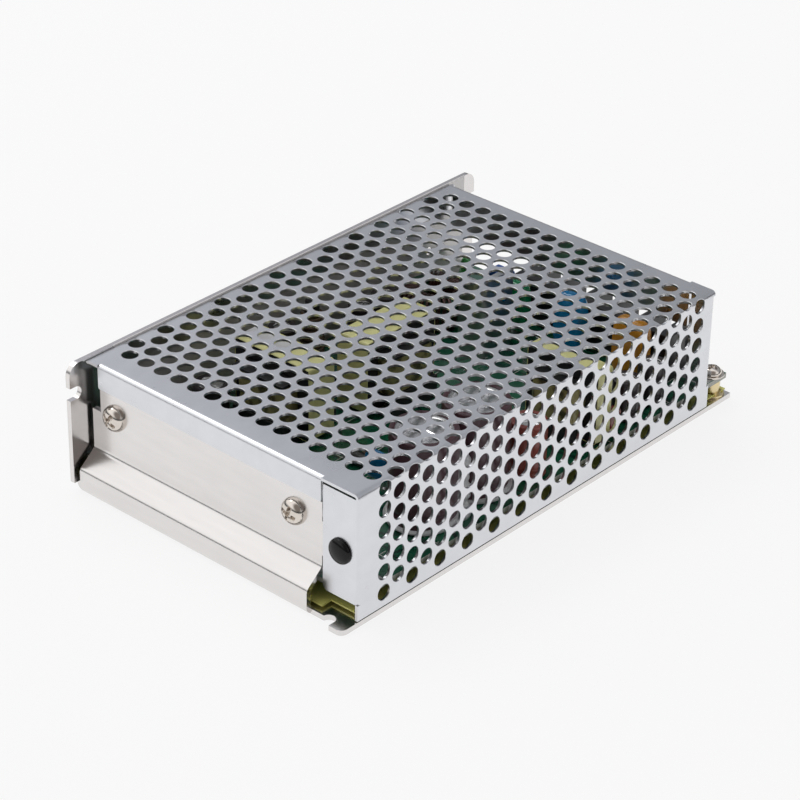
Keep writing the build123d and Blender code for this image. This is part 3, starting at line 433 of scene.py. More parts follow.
def flap(low, high, root, drop, low_corner, high_corner):
    """Flap from the fold line on: a flat root, a quarter circle and a straight leaf, as (across, out, down)
    for both faces. The leaf is shorter near its two corners by a circle's arc."""
    corner = 1 - np.sin(np.linspace(0, math.pi / 2, 9))
    w = np.unique(np.round(np.concatenate((low + low_corner * corner, high - high_corner * corner)), 4))
    past_low = np.clip(low_corner - (w - low), 0, None)
    past_high = np.clip(high_corner - (high - w), 0, None)
    cut = low_corner - np.sqrt(np.maximum(low_corner**2 - past_low**2, 0))
    cut = cut + high_corner - np.sqrt(np.maximum(high_corner**2 - past_high**2, 0))
    faces = []
    for depth in (0.0, sheet):
        turn = np.linspace(0, math.pi / 2, 7)
        reach = fold_radius - depth
        out = np.concatenate(((0, root - 0.4), root + reach * np.sin(turn), (root + reach,)))
        down = np.concatenate(((0, 0), reach * (1 - np.cos(turn)), (0,))) + depth
        out = np.repeat(out[:, None], len(w), axis=1)
        down = np.repeat(down[:, None], len(w), axis=1)
        down[-1] = drop - cut
        faces.append((np.repeat(w[None], len(out), axis=0), out, down))
    return faces


flaps = []
side_flap_top = 36.6
for end, root_y, end_y, drop, foot, width in (
    (-1, front_root, cover_front, 6.9, 6.3, 11.6),
    (1, rear_root, cover_rear, 13.8, 8.5, 7.4),
):
    (_, _, left_x, right_x), _ = flap_spans[end]
    root = abs(end_y - root_y) - fold_radius
    top_flap = flap(left_x, right_x, root, drop, 0.5, 0.5)
    side_flap = flap(foot, side_flap_top, root, width, 1.5, 0.4)
    for faces in (
        [(w, root_y + end * out, case_top - down) for w, out, down in top_flap],
        [(case_side - down, root_y + end * out, w) for w, out, down in side_flap],
    ):
        flaps.append(slab(*(np.stack(face, axis=-1) for face in faces), walls=(0, 1, 1, 1)))
galvanised = finish(
    "galvanised_sheet", (0.66, 0.67, 0.695), 0.28,
    mottle=0.12, scale=260, stretch=(1, 0.5, 1), bump=0.03, metallic=1.0,
)
cover = piece("perforated_cover", join(blank, *flaps), galvanised, ("cover",), bevel=0.1)
cover.modifiers["edges"].segments = 1

# Chassis: the bare aluminium sheet with the end wall, the base and the left wall with its ears. Inside
# the case the left wall is duller than the rest.
aluminium = finish(
    "satin_aluminium", (0.70, 0.68, 0.67), 0.22,
    mottle=0.10, scale=500, stretch=(0.15, 1, 1), bump=0.04, metallic=1.0,
)
tree = aluminium.node_tree
place = node(tree, "ShaderNodeTexCoord")
spot = node(tree, "ShaderNodeSeparateXYZ")
# Both comparisons give 1 within a distance of a place, in metres
near_wall = calc(tree, "COMPARE", None, -0.0468, 0.0006)
between_ears = calc(tree, "COMPARE", None, 0.0055, 0.0695)
dull = calc(tree, "MULTIPLY")
sheen = calc(tree, "MULTIPLY_ADD", None, -0.7, 1.0)
connect(
    tree,
    (place.outputs["Object"], spot.inputs[0]),
    (spot.outputs["X"], near_wall.inputs[0]),
    (spot.outputs["Y"], between_ears.inputs[0]),
    (near_wall.outputs[0], dull.inputs[0]),
    (between_ears.outputs[0], dull.inputs[1]),
    (dull.outputs[0], sheen.inputs[0]),
    (sheen.outputs[0], tree.nodes["Principled BSDF"].inputs["Metallic"]),
)
chassis = refined("chassis", aluminium, bevel=0.25, round_from=40)
chassis.modifiers.new("flat_faces", "WEIGHTED_NORMAL").keep_sharp = True

# End wall's screws: two pan heads with a cross recess, of nickel-plated steel, that clamp the heat
# spreader from outside. A head is drawn as rings round its axis.
# Rotation from +Z to each axis
turns = {
    "+z": np.eye(3),
    "-y": np.array(((1, 0, 0), (0, 0, -1), (0, 1, 0))),
    "+y": np.array(((1, 0, 0), (0, 0, 1), (0, -1, 0))),
    "-x": np.array(((0, 0, -1), (0, 1, 0), (1, 0, 0))),
    "+x": np.array(((0, 0, 1), (0, 1, 0), (-1, 0, 0))),
}


def placed(shape, centre, axis="+z"):
    """Shape turned from +Z to that axis and moved to centre."""
    return shape[0] @ turns[axis].T + np.array(centre), shape[1]


def tube(x, y, z):
    """Shape from three grids of coordinates, whose rows are closed rings, one after the other."""
    x, y, z = np.broadcast_arrays(x, y, z)
    return np.stack((x, y, z), axis=-1).reshape(-1, 3), grid(*x.shape, round_columns=True)


def circle_of(sides):
    """Angles of that many points round a circle, as a row."""
    return np.linspace(0, 2 * math.pi, sides + 1)[None, :-1]


def screw_head(radius, height, turn, cross=0.62, depth=0.55, power=2.6):
    """Head with its seat at Z=0. The height falls as a superellipse from the middle to the rim. Where the
    distance to an arm of the cross is below half the slot's width it drops, less towards the arm's end."""
    theta = circle_of(96)
    reach = radius * np.sin(np.linspace(0, 1, 40)[:, None] * math.pi / 2)
    half_slot, slope = 0.14 * radius, 0.05 * radius
    arm = np.minimum(np.abs(reach * np.sin(theta + turn)), np.abs(reach * np.cos(theta + turn)))
    inside = np.clip((half_slot - arm) / slope + 0.5, 0, 1)
    fall = np.clip(1 - (reach / (cross * radius)) ** 2, 0, 1)
    top = height * (1 - (reach / radius) ** power) ** 0.5
    z = np.maximum(top - inside * fall**0.6 * depth * height, 0.05)
    seat = np.array(((radius,), (radius / 2,)))
    reach = np.concatenate((reach, seat))
    z = np.concatenate((z, np.zeros((len(seat), theta.size))))
    return tube(reach * np.cos(theta), reach * np.sin(theta), z)


def centre_of(name):
    """Middle, lowest and highest corner of a CAD node, in millimetres."""
    low, high = (np.array(corner) * 1000 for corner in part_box(name))
    return (low + high) / 2, low, high


nickel = finish("nickel_plate", (0.66, 0.61, 0.56), 0.12, mottle=0.25, scale=700, bump=0.02, metallic=1.0)
middle, low, high = centre_of("end_wall_screws")
head_radius, end_face = (high[2] - low[2]) / 2, -73.0
heads = [
    placed(screw_head(head_radius, 2.6, turn), (x, end_face, middle[2]), "-y")
    for x, turn in ((low[0] + head_radius, 0.5), (high[0] - head_radius, 0.25))
]
piece("end_screw_heads", join(*heads), nickel, ("end_wall_screws",), smooth=28)


def lathe(profile, sides=48):
    """Surface of revolution round Z from (radius, height) pairs."""
    radius, height = np.array(profile, dtype=float).T[:, :, None]
    return tube(radius * np.cos(circle_of(sides)), radius * np.sin(circle_of(sides)), height)


def dome(radius, height, power=2.0, steps=14):
    """Profile of a dome from its rim to the middle: the cosine of an angle across, and up a power of its
    sine, which makes the dome flatter on top as the power rises."""
    t = np.linspace(0, math.pi / 2, steps)
    return [(radius * math.cos(a), height * math.sin(a) ** (2 / power)) for a in t]


# Rivet: a black plastic push rivet with a domed head on a short shank. It is pressed through the cover's
# front flap into the tab of the chassis.
black_gloss = finish(
    "black_plastic", (0.006, 0.006, 0.007), 0.15, mottle=0.15, scale=900, bump=0.02, Specular_IOR_Level=0.22
)
rivet_x, rivet_z, rivet_radius = 42.8, 20.0, 3.5
rivet_foot = [(1.9, -4.0), (1.9, 0), (rivet_radius - 0.15, 0), (rivet_radius, 0.12)]
rivet = lathe(rivet_foot + [(r, h + 0.2) for r, h in dome(rivet_radius, 1.6, 2.4)])
rivet = placed(rivet, (rivet_x, cover_front, rivet_z), "-y")
piece("rivet_head", rivet, black_gloss, ("push_rivet",))

# Flat screws: two countersunk steel screws, flush with the left wall, that hold the cover's hook flange
# from outside. They have the same plating as the other screws.
flat_head = screw_head(2.8, 0.35, 0.3, depth=3.0, power=12)
flat_head_x, flat_head_z = -48.1, 33.6
heads = [placed(flat_head, (flat_head_x, y, flat_head_z), "-x") for y in (-48, 48)]
piece("flat_screw_heads", join(*heads), nickel, ("cover_screws",), smooth=28)

# Insulation sheet: thin yellow-green film that lets a little light through. It lies under the board and
# shows at the open corners.
film = finish(
    "insulation_film", (0.93, 0.91, 0.27), 0.22,
    mottle=0.10, scale=60, bump=0.10, coat=0.3, Transmission_Weight=0.15,
)
refined("insulation_sheet", film, bevel=0.05)

# Board: green lacquer over copper tracks, with pale print in places. The tracks are warped bricks whose
# joints are the gaps between them. The cut edges show the pale laminate.
board_green = finish(
    "green_lacquer", (0.004, 0.085, 0.045), 0.28, mottle=0.25, scale=300, bump=0.05, coat=0.5
)
tree = board_green.node_tree


def bricks(joint, width, height, offset, *colors):
    """Brick texture, sized in metres, with its two colours of bricks and the colour of the joints."""
    new = node(tree, "ShaderNodeTexBrick", Scale=1.0, Mortar_Size=joint, offset=offset)
    new.inputs["Brick Width"].default_value = width
    new.inputs["Row Height"].default_value = height
    for socket, color in zip(("Color1", "Color2", "Mortar"), colors):
        new.inputs[socket].default_value = (*color, 1)
    return new


place = node(tree, "ShaderNodeTexCoord")
warp = node(tree, "ShaderNodeTexNoise", Scale=45.0)
bend = node(tree, "ShaderNodeVectorMath", operation="MULTIPLY_ADD")
bend.inputs[1].default_value = (0.02, 0.02, 0)
copper = bricks(0.0006, 0.017, 0.0085, 0.37, (0.012, 0.15, 0.075), (0.008, 0.11, 0.06), (0.003, 0.05, 0.03))
printed = bricks(0.00016, 0.0113, 0.0137, 0.61, (0, 0, 0), (0, 0, 0), (1, 1, 1))
patchy = node(tree, "ShaderNodeTexNoise", Scale=120.0)
some = calc(tree, "GREATER_THAN", None, 0.5)
share = calc(tree, "MULTIPLY")
mix = node(tree, "ShaderNodeMix", data_type="RGBA")
mix.inputs["B"].default_value = (0.6, 0.62, 0.58, 1)
facing = node(tree, "ShaderNodeNewGeometry")
upward = node(tree, "ShaderNodeSeparateXYZ")
steep = calc(tree, "ABSOLUTE")
on_cut = calc(tree, "LESS_THAN", None, 0.3)
cut = node(tree, "ShaderNodeMix", data_type="RGBA")
cut.inputs["B"].default_value = (0.42, 0.43, 0.38, 1)
connect(
    tree,
    (place.outputs["Object"], warp.inputs["Vector"]),
    (warp.outputs["Color"], bend.inputs[0]),
    (place.outputs["Object"], bend.inputs[2]),
    (bend.outputs[0], copper.inputs["Vector"]),
    (place.outputs["Object"], printed.inputs["Vector"]),
    (place.outputs["Object"], patchy.inputs["Vector"]),
    (patchy.outputs[0], some.inputs[0]),
    (some.outputs[0], share.inputs[0]),
    (printed.outputs["Color"], share.inputs[1]),
    (share.outputs[0], mix.inputs["Factor"]),
    (copper.outputs["Color"], mix.inputs["A"]),
    (mix.outputs["Result"], cut.inputs["A"]),
    (facing.outputs["Normal"], upward.inputs[0]),
    (upward.outputs["Z"], steep.inputs[0]),
    (steep.outputs[0], on_cut.inputs[0]),
    (on_cut.outputs[0], cut.inputs["Factor"]),
    (cut.outputs["Result"], tree.nodes["surface"].inputs["Color"]),
)
refined("circuit_board", board_green, bevel=0.1)

# Standoffs under the board, the board screws with their washers and bright lands, and the screws of the
# power devices.
brass = finish("brass", (0.72, 0.60, 0.36), 0.28, mottle=0.15, scale=600, bump=0.03, metallic=1.0)
refined("board_standoffs", brass, bevel=0.1)
board_points = ((44.5, 75.6), (-42.2, 60.0), (43.0, -66.0), (-42.2, -66.0))
board_top, washer = 7.6, 0.5
ring = lathe([(1.4, 0), (3.35, 0), (3.5, 0.1), (3.5, washer - 0.1), (3.35, washer), (1.4, washer)], 40)
heads = []
for index, (x, y) in enumerate(board_points):
    heads.append(placed(ring, (x, y, board_top)))
    heads.append(placed(screw_head(2.75, 2.0, 0.7 * index), (x, y, board_top + washer)))
piece("board_screw_heads", join(*heads), nickel, ("board_screws",), smooth=28)
refined("device_screws", nickel, bevel=0.15)


def rounded_ring(half_x, half_y, corner, steps=12):
    """Points of a rectangle round the origin, each corner a quarter circle, and their outward directions."""
    points, outward = [], []
    for k, (sx, sy) in enumerate(((1, 1), (-1, 1), (-1, -1), (1, -1))):
        a = np.linspace(k * math.pi / 2, (k + 1) * math.pi / 2, steps)
        normal = np.stack((np.cos(a), np.sin(a)), axis=1)
        points.append(normal * corner + (sx * (half_x - corner), sy * (half_y - corner)))
        outward.append(normal)
    return np.concatenate(points), np.concatenate(outward)


def sticker(half_x, half_y, corner, height, hole=0.0):
    """Thin plate with rounded corners on Z=0, its rim sloped in by its height, with a round hole in the
    middle if wanted. Its rings lead straight from the hole to the edge."""
    edge, outward = rounded_ring(half_x, half_y, corner)
    away = edge / np.linalg.norm(edge, axis=1)[:, None]
    rings = [away * hole, away * hole + (edge - away * hole) * 0.6, edge - outward * height, edge]
    levels = (height, height, height, 0.0)
    vertices = [np.column_stack((ring, np.full(len(ring), level))) for ring, level in zip(rings, levels)]
    return np.concatenate(vertices), grid(4, len(edge), round_columns=True)


solder = finish("tinned_land", (0.50, 0.50, 0.49), 0.42, mottle=0.35, scale=500, bump=0.25, metallic=1.0)
land_height, land_hole = 0.06, 1.7
square_land = sticker(4.2, 4.2, 1.0, land_height, land_hole)
lands = [placed(square_land, (x, y, board_top)) for x, y in board_points[1:]]
corner_x, corner_y = board_points[0]
corner_land = sticker(4.3, 5.2, 0.6, land_height, land_hole)
lands.append(placed(corner_land, (corner_x - 2.0, corner_y - 2.0, board_top)))
piece("screw_lands", join(*lands), solder, smooth=28)

# Wound parts: black ferrite cores with a pale yellow tape round them, black bobbins, and windings
# covered with an olive tape that shows the wires under it.
ferrite = finish("ferrite", (0.018, 0.018, 0.020), 0.45, mottle=0.35, scale=900, bump=0.15)
yellow_tape = finish("yellow_tape", (0.95, 0.93, 0.42), 0.30, mottle=0.10, scale=90, bump=0.25, coat=0.25)
black_plastic = finish("black_moulding", (0.02, 0.02, 0.022), 0.38, mottle=0.3, scale=700, bump=0.12)
olive_tape = finish("olive_tape", (0.40, 0.35, 0.13), 0.32, mottle=0.25, scale=160, bump=0.3, coat=0.35)
tree = olive_tape.node_tree
place = node(tree, "ShaderNodeTexCoord")
marks = node(tree, "ShaderNodeTexNoise", Scale=240.0, Detail=4.0)
dark = ramp(tree, (0.50, (0.42, 0.38, 0.16)), (0.62, (0.10, 0.08, 0.03)))
connect(
    tree,
    (place.outputs["Object"], marks.inputs["Vector"]),
    (marks.outputs[0], dark.inputs[0]),
    (dark.outputs[0], tree.nodes["surface"].inputs["Color"]),
)
for name in ("front_transformer", "middle_transformer", "output_choke"):
    refined(f"{name}_core", ferrite, bevel=0.25)
    refined(f"{name}_bobbin", black_plastic, bevel=0.12)

    # The tape runs along the longer side: a rounded rectangle on edge, drawn through the tape's width,
    # with shallow waves in its outer face
    middle, low, high = centre_of(f"{name}_tape")
    size = high - low
    along_x = size[0] > size[1]
    length, width = (size[0], size[1]) if along_x else (size[1], size[0])
    points, outward = rounded_ring(length / 2 - 0.05, size[2] / 2 - 0.05, 0.7)
    lines = np.linspace(-width / 2 + 0.05, width / 2 - 0.05, 14)
    faces = []
    for depth in (0.0, 0.22):
        wave = 0.03 * np.sin(points[:, :1] * 1.3 + lines * 2.1) * (depth == 0)
        u = points[:, :1] - outward[:, :1] * (depth - wave)
        v = points[:, 1:] - outward[:, 1:] * (depth - wave)
        w = np.broadcast_to(lines, u.shape)
        closed = np.stack((u, w, v) if along_x else (w, u, v), axis=-1) + middle
        faces.append(np.concatenate((closed, closed[:1])))
    band = slab(*faces, walls=(0, 0, 1, 1))
    piece(f"{name}_tape_band", band, yellow_tape, (f"{name}_tape",), smooth=50)

    # The winding: rounded rectangles on top of each other, rounded over at both ends, with the steps
    # where the tape overlaps and the ripple of the wires
    middle, low, high = centre_of(f"{name}_winding")
    half_x, half_y, half_z = (high - low) / 2
    end_radius = 0.5
    rise = end_radius * (1 - np.cos(np.linspace(0, math.pi / 2, 5)))
    straight = np.linspace(-half_z + end_radius, half_z - end_radius, 26)[1:-1]
    level = np.concatenate((-half_z + rise, straight, half_z - rise[::-1]))[:, None]
    past = np.maximum(np.abs(level) - half_z + end_radius, 0)
    inset = end_radius - np.sqrt(np.maximum(end_radius**2 - past**2, 0))
    points, outward = rounded_ring(half_x - 0.12, half_y - 0.12, 3.0, 16)
    around = np.arange(len(points)) / len(points) * 2 * math.pi
    overlap = 0.10 * np.tanh(6 * np.sin(level * 0.55 + 0.8))
    ripple = 0.05 * np.sin(level * 2.6 + 5 * around) * np.sin(3 * around)
    swell = overlap + ripple - inset - 0.1
    x = points[:, 0] + outward[:, 0] * swell
    y = points[:, 1] + outward[:, 1] * swell
    body = np.stack((x, y, np.broadcast_to(level, x.shape)), axis=-1)
    ends = body[[0, -1]] * (0.35, 0.35, 1)
    winding = np.concatenate((ends[:1], body, ends[1:])) + middle
    shape = tube(*np.moveaxis(winding, -1, 0))
    piece(f"{name}_wrapping", shape, olive_tape, (f"{name}_winding",), smooth=50)

# Label: a blank slip of pale paper with rounded corners, stuck on top of the front transformer. It shows
# through a few holes of the cover.
label_paper = finish("label_paper", (0.78, 0.78, 0.80), 0.5, mottle=0.04, scale=300, bump=0.05)
slip = placed(sticker(7.5, 2.75, 0.4, 0.1), (-29.0, -24.25, 31.0))
piece("blank_label", slip, label_paper, smooth=28)

# Heat spreader, pads and power devices behind the end wall, and the rectifier on its own heat sink. The
# metal is drawn, so that its fine marks run upward.
dull_metal = finish(
    "dull_metal", (0.60, 0.61, 0.62), 0.36,
    mottle=0.12, scale=500, stretch=(1, 1, 0.2), bump=0.06, metallic=1.0,
)
silicone_pad = finish("silicone_pad", (0.26, 0.27, 0.29), 0.7, mottle=0.1, scale=1200, bump=0.1)
for name, material, slot in (
    ("heat_spreader", dull_metal, "heat_metal"),
    ("rectifier_heat_sink", dull_metal, "heat_metal"),
    ("device_pads", silicone_pad, "grey_silicone"),
    ("power_devices", black_plastic, "black_plastic"),
    ("rectifier", black_plastic, "black_plastic"),
):
    refined(name, material, bevel=0.08 if name == "device_pads" else 0.15)

# Terminal block: one black moulding with five bays. In each a plated clamp is held down by a washer and
# a cross-head screw.
refined("terminal_block", black_plastic, bevel=0.25)
refined("terminal_clamps", nickel, bevel=0.12)
refined("terminal_washers", nickel, bevel=0.15)
middle, _, high = centre_of("terminal_screws")
bays, first_bay, bay_pitch, head_height = 5, -13.25, 9.5, 2.4
shank = lathe([(1.7, -5.0), (1.7, 0)], 24)
heads = []
for bay in range(bays):
    seat = (first_bay + (bay + 0.5) * bay_pitch, middle[1], high[2] - head_height)
    heads.append(placed(screw_head(3.2, head_height, 0.4 + 0.9 * bay, power=3.4), seat))
    heads.append(placed(shank, seat))
piece("terminal_screw_heads", join(*heads), nickel, ("terminal_screws",), smooth=28)

# Trimmer and lamp beside the terminals: a blue moulding with a white rotor, which keeps its own body and
# turns, and a lamp cast in clear green resin on two legs.
blue_body = finish("blue_moulding", (0.02, 0.10, 0.38), 0.35, mottle=0.15, scale=700, bump=0.08)
white_rotor = finish("white_moulding", (0.72, 0.72, 0.68), 0.40, mottle=0.10, scale=700, bump=0.06)
refined("trimmer_body", blue_body, bevel=0.15)
refined("trimmer_rotor", white_rotor, bevel=0.10, body="trimmer")
green_lens = finish(
    "green_lens", (0.03, 0.42, 0.06), 0.12,
    mottle=0.15, scale=500, bump=0.02, coat=0.6, Transmission_Weight=0.5,
)
middle, _, _ = centre_of("power_led")
lens_radius, lens_side, leg_length = 1.5, 3.5, 2.0
flange = [(0.2, 0), (1.9, 0), (1.9, 0.8), (lens_radius, 0.9), (lens_radius, lens_side)]
lens = lathe(flange + [(r, lens_side + h) for r, h in dome(lens_radius, lens_radius)[1:]], 40)
leg = lathe([(0.001, -leg_length), (0.25, -leg_length), (0.25, 0.1)], 12)
legs = [placed(leg, (x, 0, 0)) for x in (-0.8, 0.8)]
shape = placed(join(lens, *legs), (middle[0], middle[1], board_top + leg_length))
piece("lamp", shape, green_lens, ("power_led",))

# Electrolytic capacitors: bright cans with scored tops in shrink sleeves that are drawn in at the
# groove and curl over the top edge.
can_metal = finish("drawn_can", (0.80, 0.80, 0.80), 0.25, mottle=0.10, scale=500, bump=0.03, metallic=1.0)
mauve = finish("mauve_sleeve", (0.105, 0.050, 0.062), 0.30, mottle=0.15, scale=350, bump=0.05, coat=0.3)
dark_sleeve = finish("dark_sleeve", (0.035, 0.026, 0.030), 0.32, mottle=0.2, scale=350, bump=0.05, coat=0.3)


def can_top(radius, height):
    """Disc at that height, pressed in a little inside the rim and scored with three lines from the middle."""
    theta = circle_of(72)
    part = np.linspace(0, 1, 30)[:, None]
    reach = radius * part
    away = theta - np.arange(3)[:, None, None] * 2 * math.pi / 3
    behind = np.cos(away) < 0
    off_line = np.min(np.abs(reach * np.sin(away)) + radius * behind, axis=0)
    dish = 0.35 * np.clip((0.86 - part) / 0.05, 0, 1)
    score = 0.18 * np.clip(1 - off_line / 0.35, 0, 1) * (part < 0.75)
    return tube(reach * np.cos(theta), reach * np.sin(theta), height - dish - score)


def sleeve_profile(radius, height, groove):
    """(radius, height) from the foot to the curl over the top edge, which is part of a circle. The groove
    near the foot has the form of a bell curve."""
    z = np.linspace(0.6, height - 0.5, 40)
    neck = 0.55 * np.exp(-(((z - groove) / 0.7) ** 2))
    a = np.linspace(0.2, math.pi / 2, 6)
    edge = zip(radius - 0.5 + 0.5 * np.cos(a), height - 0.5 + 0.5 * np.sin(a))
    curl = ((radius - 1.5, height), (radius - 1.55, height - 0.15))
    return [(radius - 0.3, 0.6), *zip(radius - neck, z), *edge, *curl]


_, _, high = centre_of("input_capacitor_sleeves")
large_x, large_ys, large_radius, large_height = 34.3, (-34.2, -14.0), 9.0, high[2] - board_top
can_foot = lathe([(0, 0), (8.5, 0), (8.6, 0.7), (8.0, 0.8)], 64)
cans, sleeves = [], []
for y in large_ys:
    foot = (large_x, y, board_top)
    cans.append(placed(can_top(large_radius - 1.0, large_height - 0.2), foot))
    cans.append(placed(can_foot, foot))
    sleeves.append(placed(lathe(sleeve_profile(large_radius, large_height, 4.0), 72), foot))
piece("large_can_tops", join(*cans), can_metal, ("input_capacitor_cans",))
piece("large_can_sleeves", join(*sleeves), mauve, ("input_capacitor_sleeves",))
# The small ones: place across and along, radius and height
small_cans = (
    (-37.0, -39.0, 5.0, 12.8),
    (-40.5, -8.0, 4.0, 16.3),
    (-38.0, 21.5, 4.0, 12.3),
    (-38.0, 31.0, 4.0, 12.3),
    (40.2, 0.3, 5.0, 16.3),
    (41.0, 40.5, 4.0, 12.3),
    (41.0, 52.0, 4.0, 12.3),
)
cans, sleeves = [], []
for x, y, radius, height in small_cans:
    cans.append(placed(can_top(radius - 0.9, height - 0.15), (x, y, board_top)))
    sleeves.append(placed(lathe(sleeve_profile(radius, height, 2.2)), (x, y, board_top)))
red_one = 4
red_sleeve = finish("red_sleeve", (0.33, 0.075, 0.055), 0.30, mottle=0.15, scale=350, bump=0.05, coat=0.3)
piece("small_can_tops", join(*cans), can_metal)
piece("red_can_sleeve", sleeves.pop(red_one), red_sleeve)
piece("small_can_sleeves", join(*sleeves), dark_sleeve, ("small_capacitors",))

# Silicone: white sealant that holds the two large cans, laid by hand. It is a soft ring round the foot of
# each and a bead that runs down between them at the side.
silicone = finish("white_silicone", (0.74, 0.75, 0.76), 0.35, mottle=0.12, scale=250, bump=0.4, coat=0.2)
theta = circle_of(96)
# A ring is half a circle, carried round the can, whose width and height swell and shrink on the way
ring_reach = large_radius - 0.1
shapes = []
for y in large_ys:
    t = np.linspace(0, math.pi, 12)[:, None]
    lump = 1.0 + 0.25 * np.sin(3 * theta) * np.sin(5 * theta + y)
    reach = ring_reach + 1.1 * lump * np.sin(t)
    z = board_top + 1.1 * (1 - np.cos(t)) * (0.8 + 0.3 * np.sin(2 * theta + 1))
    shapes.append(tube(large_x + reach * np.cos(theta), y + reach * np.sin(theta), z))
# The bead is an upright column of uneven radius with a round end of that length at the top
_, low, high = centre_of("silicone_bead")
bead_x, bead_y, bead_radius, bead_end = 41.5, -27.6, 2.1, 2.5
z = np.linspace(low[2], high[2], 40)[:, None]
reach = bead_radius + 0.35 * np.sin(z * 0.9) + 0.2 * np.sin(z * 2.3 + theta)
reach = reach * np.sqrt(1 - np.clip((z - high[2] + bead_end) / bead_end, 0, 1) ** 2)
shapes.append(tube(bead_x + reach * np.cos(theta), bead_y + reach * np.sin(theta), z))
piece("silicone", join(*shapes), silicone, ("silicone_bead",), smooth=60)

# Dipped capacitors: wound films and a ceramic disc, dipped in a lacquer that swells round them, each on
# two tinned leads soldered to the board. The box capacitor is cast in a moulded case. The fourth value
# is the clear length of the leads.
coats = (
    ("green_film_capacitor", "green_coat", (0.008, 0.30, 0.11), 1.2),
    ("blue_film_capacitor", "blue_coat", (0.005, 0.27, 0.62), 1.2),
    ("orange_film_capacitor", "orange_coat", (0.76, 0.33, 0.035), 1.2),
    ("red_film_capacitor", "red_coat", (0.26, 0.045, 0.035), 1.2),
    ("safety_disc_capacitor", "blue_coat", (0.01, 0.21, 0.48), 2.0),
)


def power(value, exponent):
    """Power of the size of a value, with the value's own sign."""
    return np.sign(value) * np.abs(value) ** exponent


tinned = finish("tinned_wire", (0.70, 0.70, 0.70), 0.25, mottle=0.2, scale=900, bump=0.05, metallic=1.0)
leads = []
for name, slot, color, clear in coats:
    lacquer = finish(name + "_coat", color, 0.22, mottle=0.15, scale=300, bump=0.12, coat=0.6)
    middle, low, high = centre_of(name)
    foot = board_top + clear
    half_x, half_y, _ = (high - low) / 2
    half_z = (high[2] - foot) / 2
    # A superellipsoid, nearer to a box than to a ball, with a slight sag where the lacquer ran
    u = np.linspace(-math.pi / 2, math.pi / 2, 30)[:, None]
    v = circle_of(64)
    x = middle[0] + half_x * power(np.cos(u), 0.45) * power(np.cos(v), 0.5)
    y = middle[1] + half_y * power(np.cos(u), 0.6) * power(np.sin(v), 0.7)
    sag = 0.025 * np.sin(2 * v) * np.cos(u) ** 2
    z = foot + half_z * (1 + power(np.sin(u), 0.5)) + sag
    piece(name + "_body", tube(x, y, z), lacquer, (name,), smooth=60)
    spread = np.array((half_x, 0, 0) if half_x > half_y else (0, half_y, 0)) * 0.6
    lead = lathe([(0.9, -0.2), (0.7, 0.15), (0.3, 0.5), (0.3, clear + 0.8)], 16)
    leads += [placed(lead, (middle[0], middle[1], board_top) + side * spread) for side in (-1, 1)]
piece("capacitor_leads", join(*leads), tinned)
refined("box_capacitor", black_plastic, bevel=0.3)

# Chokes: enamelled copper wire wound as a helix, in two halves round a coated ferrite ring and in one
# layer round an upright ferrite rod.
enamel = finish(
    "enamelled_wire", (0.075, 0.030, 0.024), 0.28,
    mottle=0.25, scale=600, bump=0.03, coat=0.5, metallic=0.3,
)
brown_enamel = finish(
    "brown_enamelled_wire", (0.16, 0.10, 0.06), 0.28,
    mottle=0.2, scale=600, bump=0.03, coat=0.5, metallic=0.3,
)
ring_core = finish("coated_ring", (0.03, 0.10, 0.06), 0.40, mottle=0.25, scale=500, bump=0.15)


def wire(path, radius, sides=8):
    """Round wire along a path of points, by rings square to the path's direction."""
    ahead = np.gradient(path, axis=0)
    ahead /= np.linalg.norm(ahead, axis=1)[:, None]
    reference = np.where(np.abs(ahead[:, 2:]) < 0.9, (0, 0, 1), (1, 0, 0))
    side = np.cross(ahead, reference)
    side /= np.linalg.norm(side, axis=1)[:, None]
    over = np.cross(side, ahead)
    a = np.linspace(0, 2 * math.pi, sides + 1)[None, :-1, None]
    rings = path[:, None] + radius * (side[:, None] * np.cos(a) + over[:, None] * np.sin(a))
    return rings.reshape(-1, 3), grid(len(path), sides, round_columns=True)


refined("filter_choke_core", ring_core, bevel=0.8)
middle, _, _ = centre_of("filter_choke_core")
ring_radius, half_across, half_up, wire_off, wire_radius, coils = 7.75, 2.25, 3.75, 0.62, 0.56, 15
wires = []
for start in (20, 200):
    # Each turn follows a superellipse of the fifth power round the ring's oblong section
    t = np.linspace(0, 1, coils * 28)
    around = np.radians(start + 140 * t)
    turn = 2 * math.pi * coils * t
    section = (np.abs(np.cos(turn)) ** 5 + np.abs(np.sin(turn)) ** 5) ** 0.2
    reach = ring_radius + (half_across + wire_off) * np.cos(turn) / section
    height = (half_up + wire_off) * np.sin(turn) / section
    path = np.stack((reach * np.cos(around), reach * np.sin(around), height), axis=1) + middle
    wires.append(wire(path, wire_radius))
piece("filter_choke_wire", join(*wires), enamel, ("filter_choke_windings",), smooth=60)
refined("rod_choke_core", ferrite, bevel=0.3)
middle, low, high = centre_of("rod_choke_winding")
coil_radius, wire_radius, coils, margin = 2.8, 0.66, 10, 0.7
t = np.linspace(0, 1, coils * 32)
turn = 2 * math.pi * coils * t
x = middle[0] + coil_radius * np.cos(turn)
y = middle[1] + coil_radius * np.sin(turn)
z = low[2] + margin + (high[2] - low[2] - 2 * margin) * t
rod_wire = wire(np.stack((x, y, z), axis=1), wire_radius)
piece("rod_choke_wire", rod_wire, brown_enamel, ("rod_choke_winding",), smooth=60)

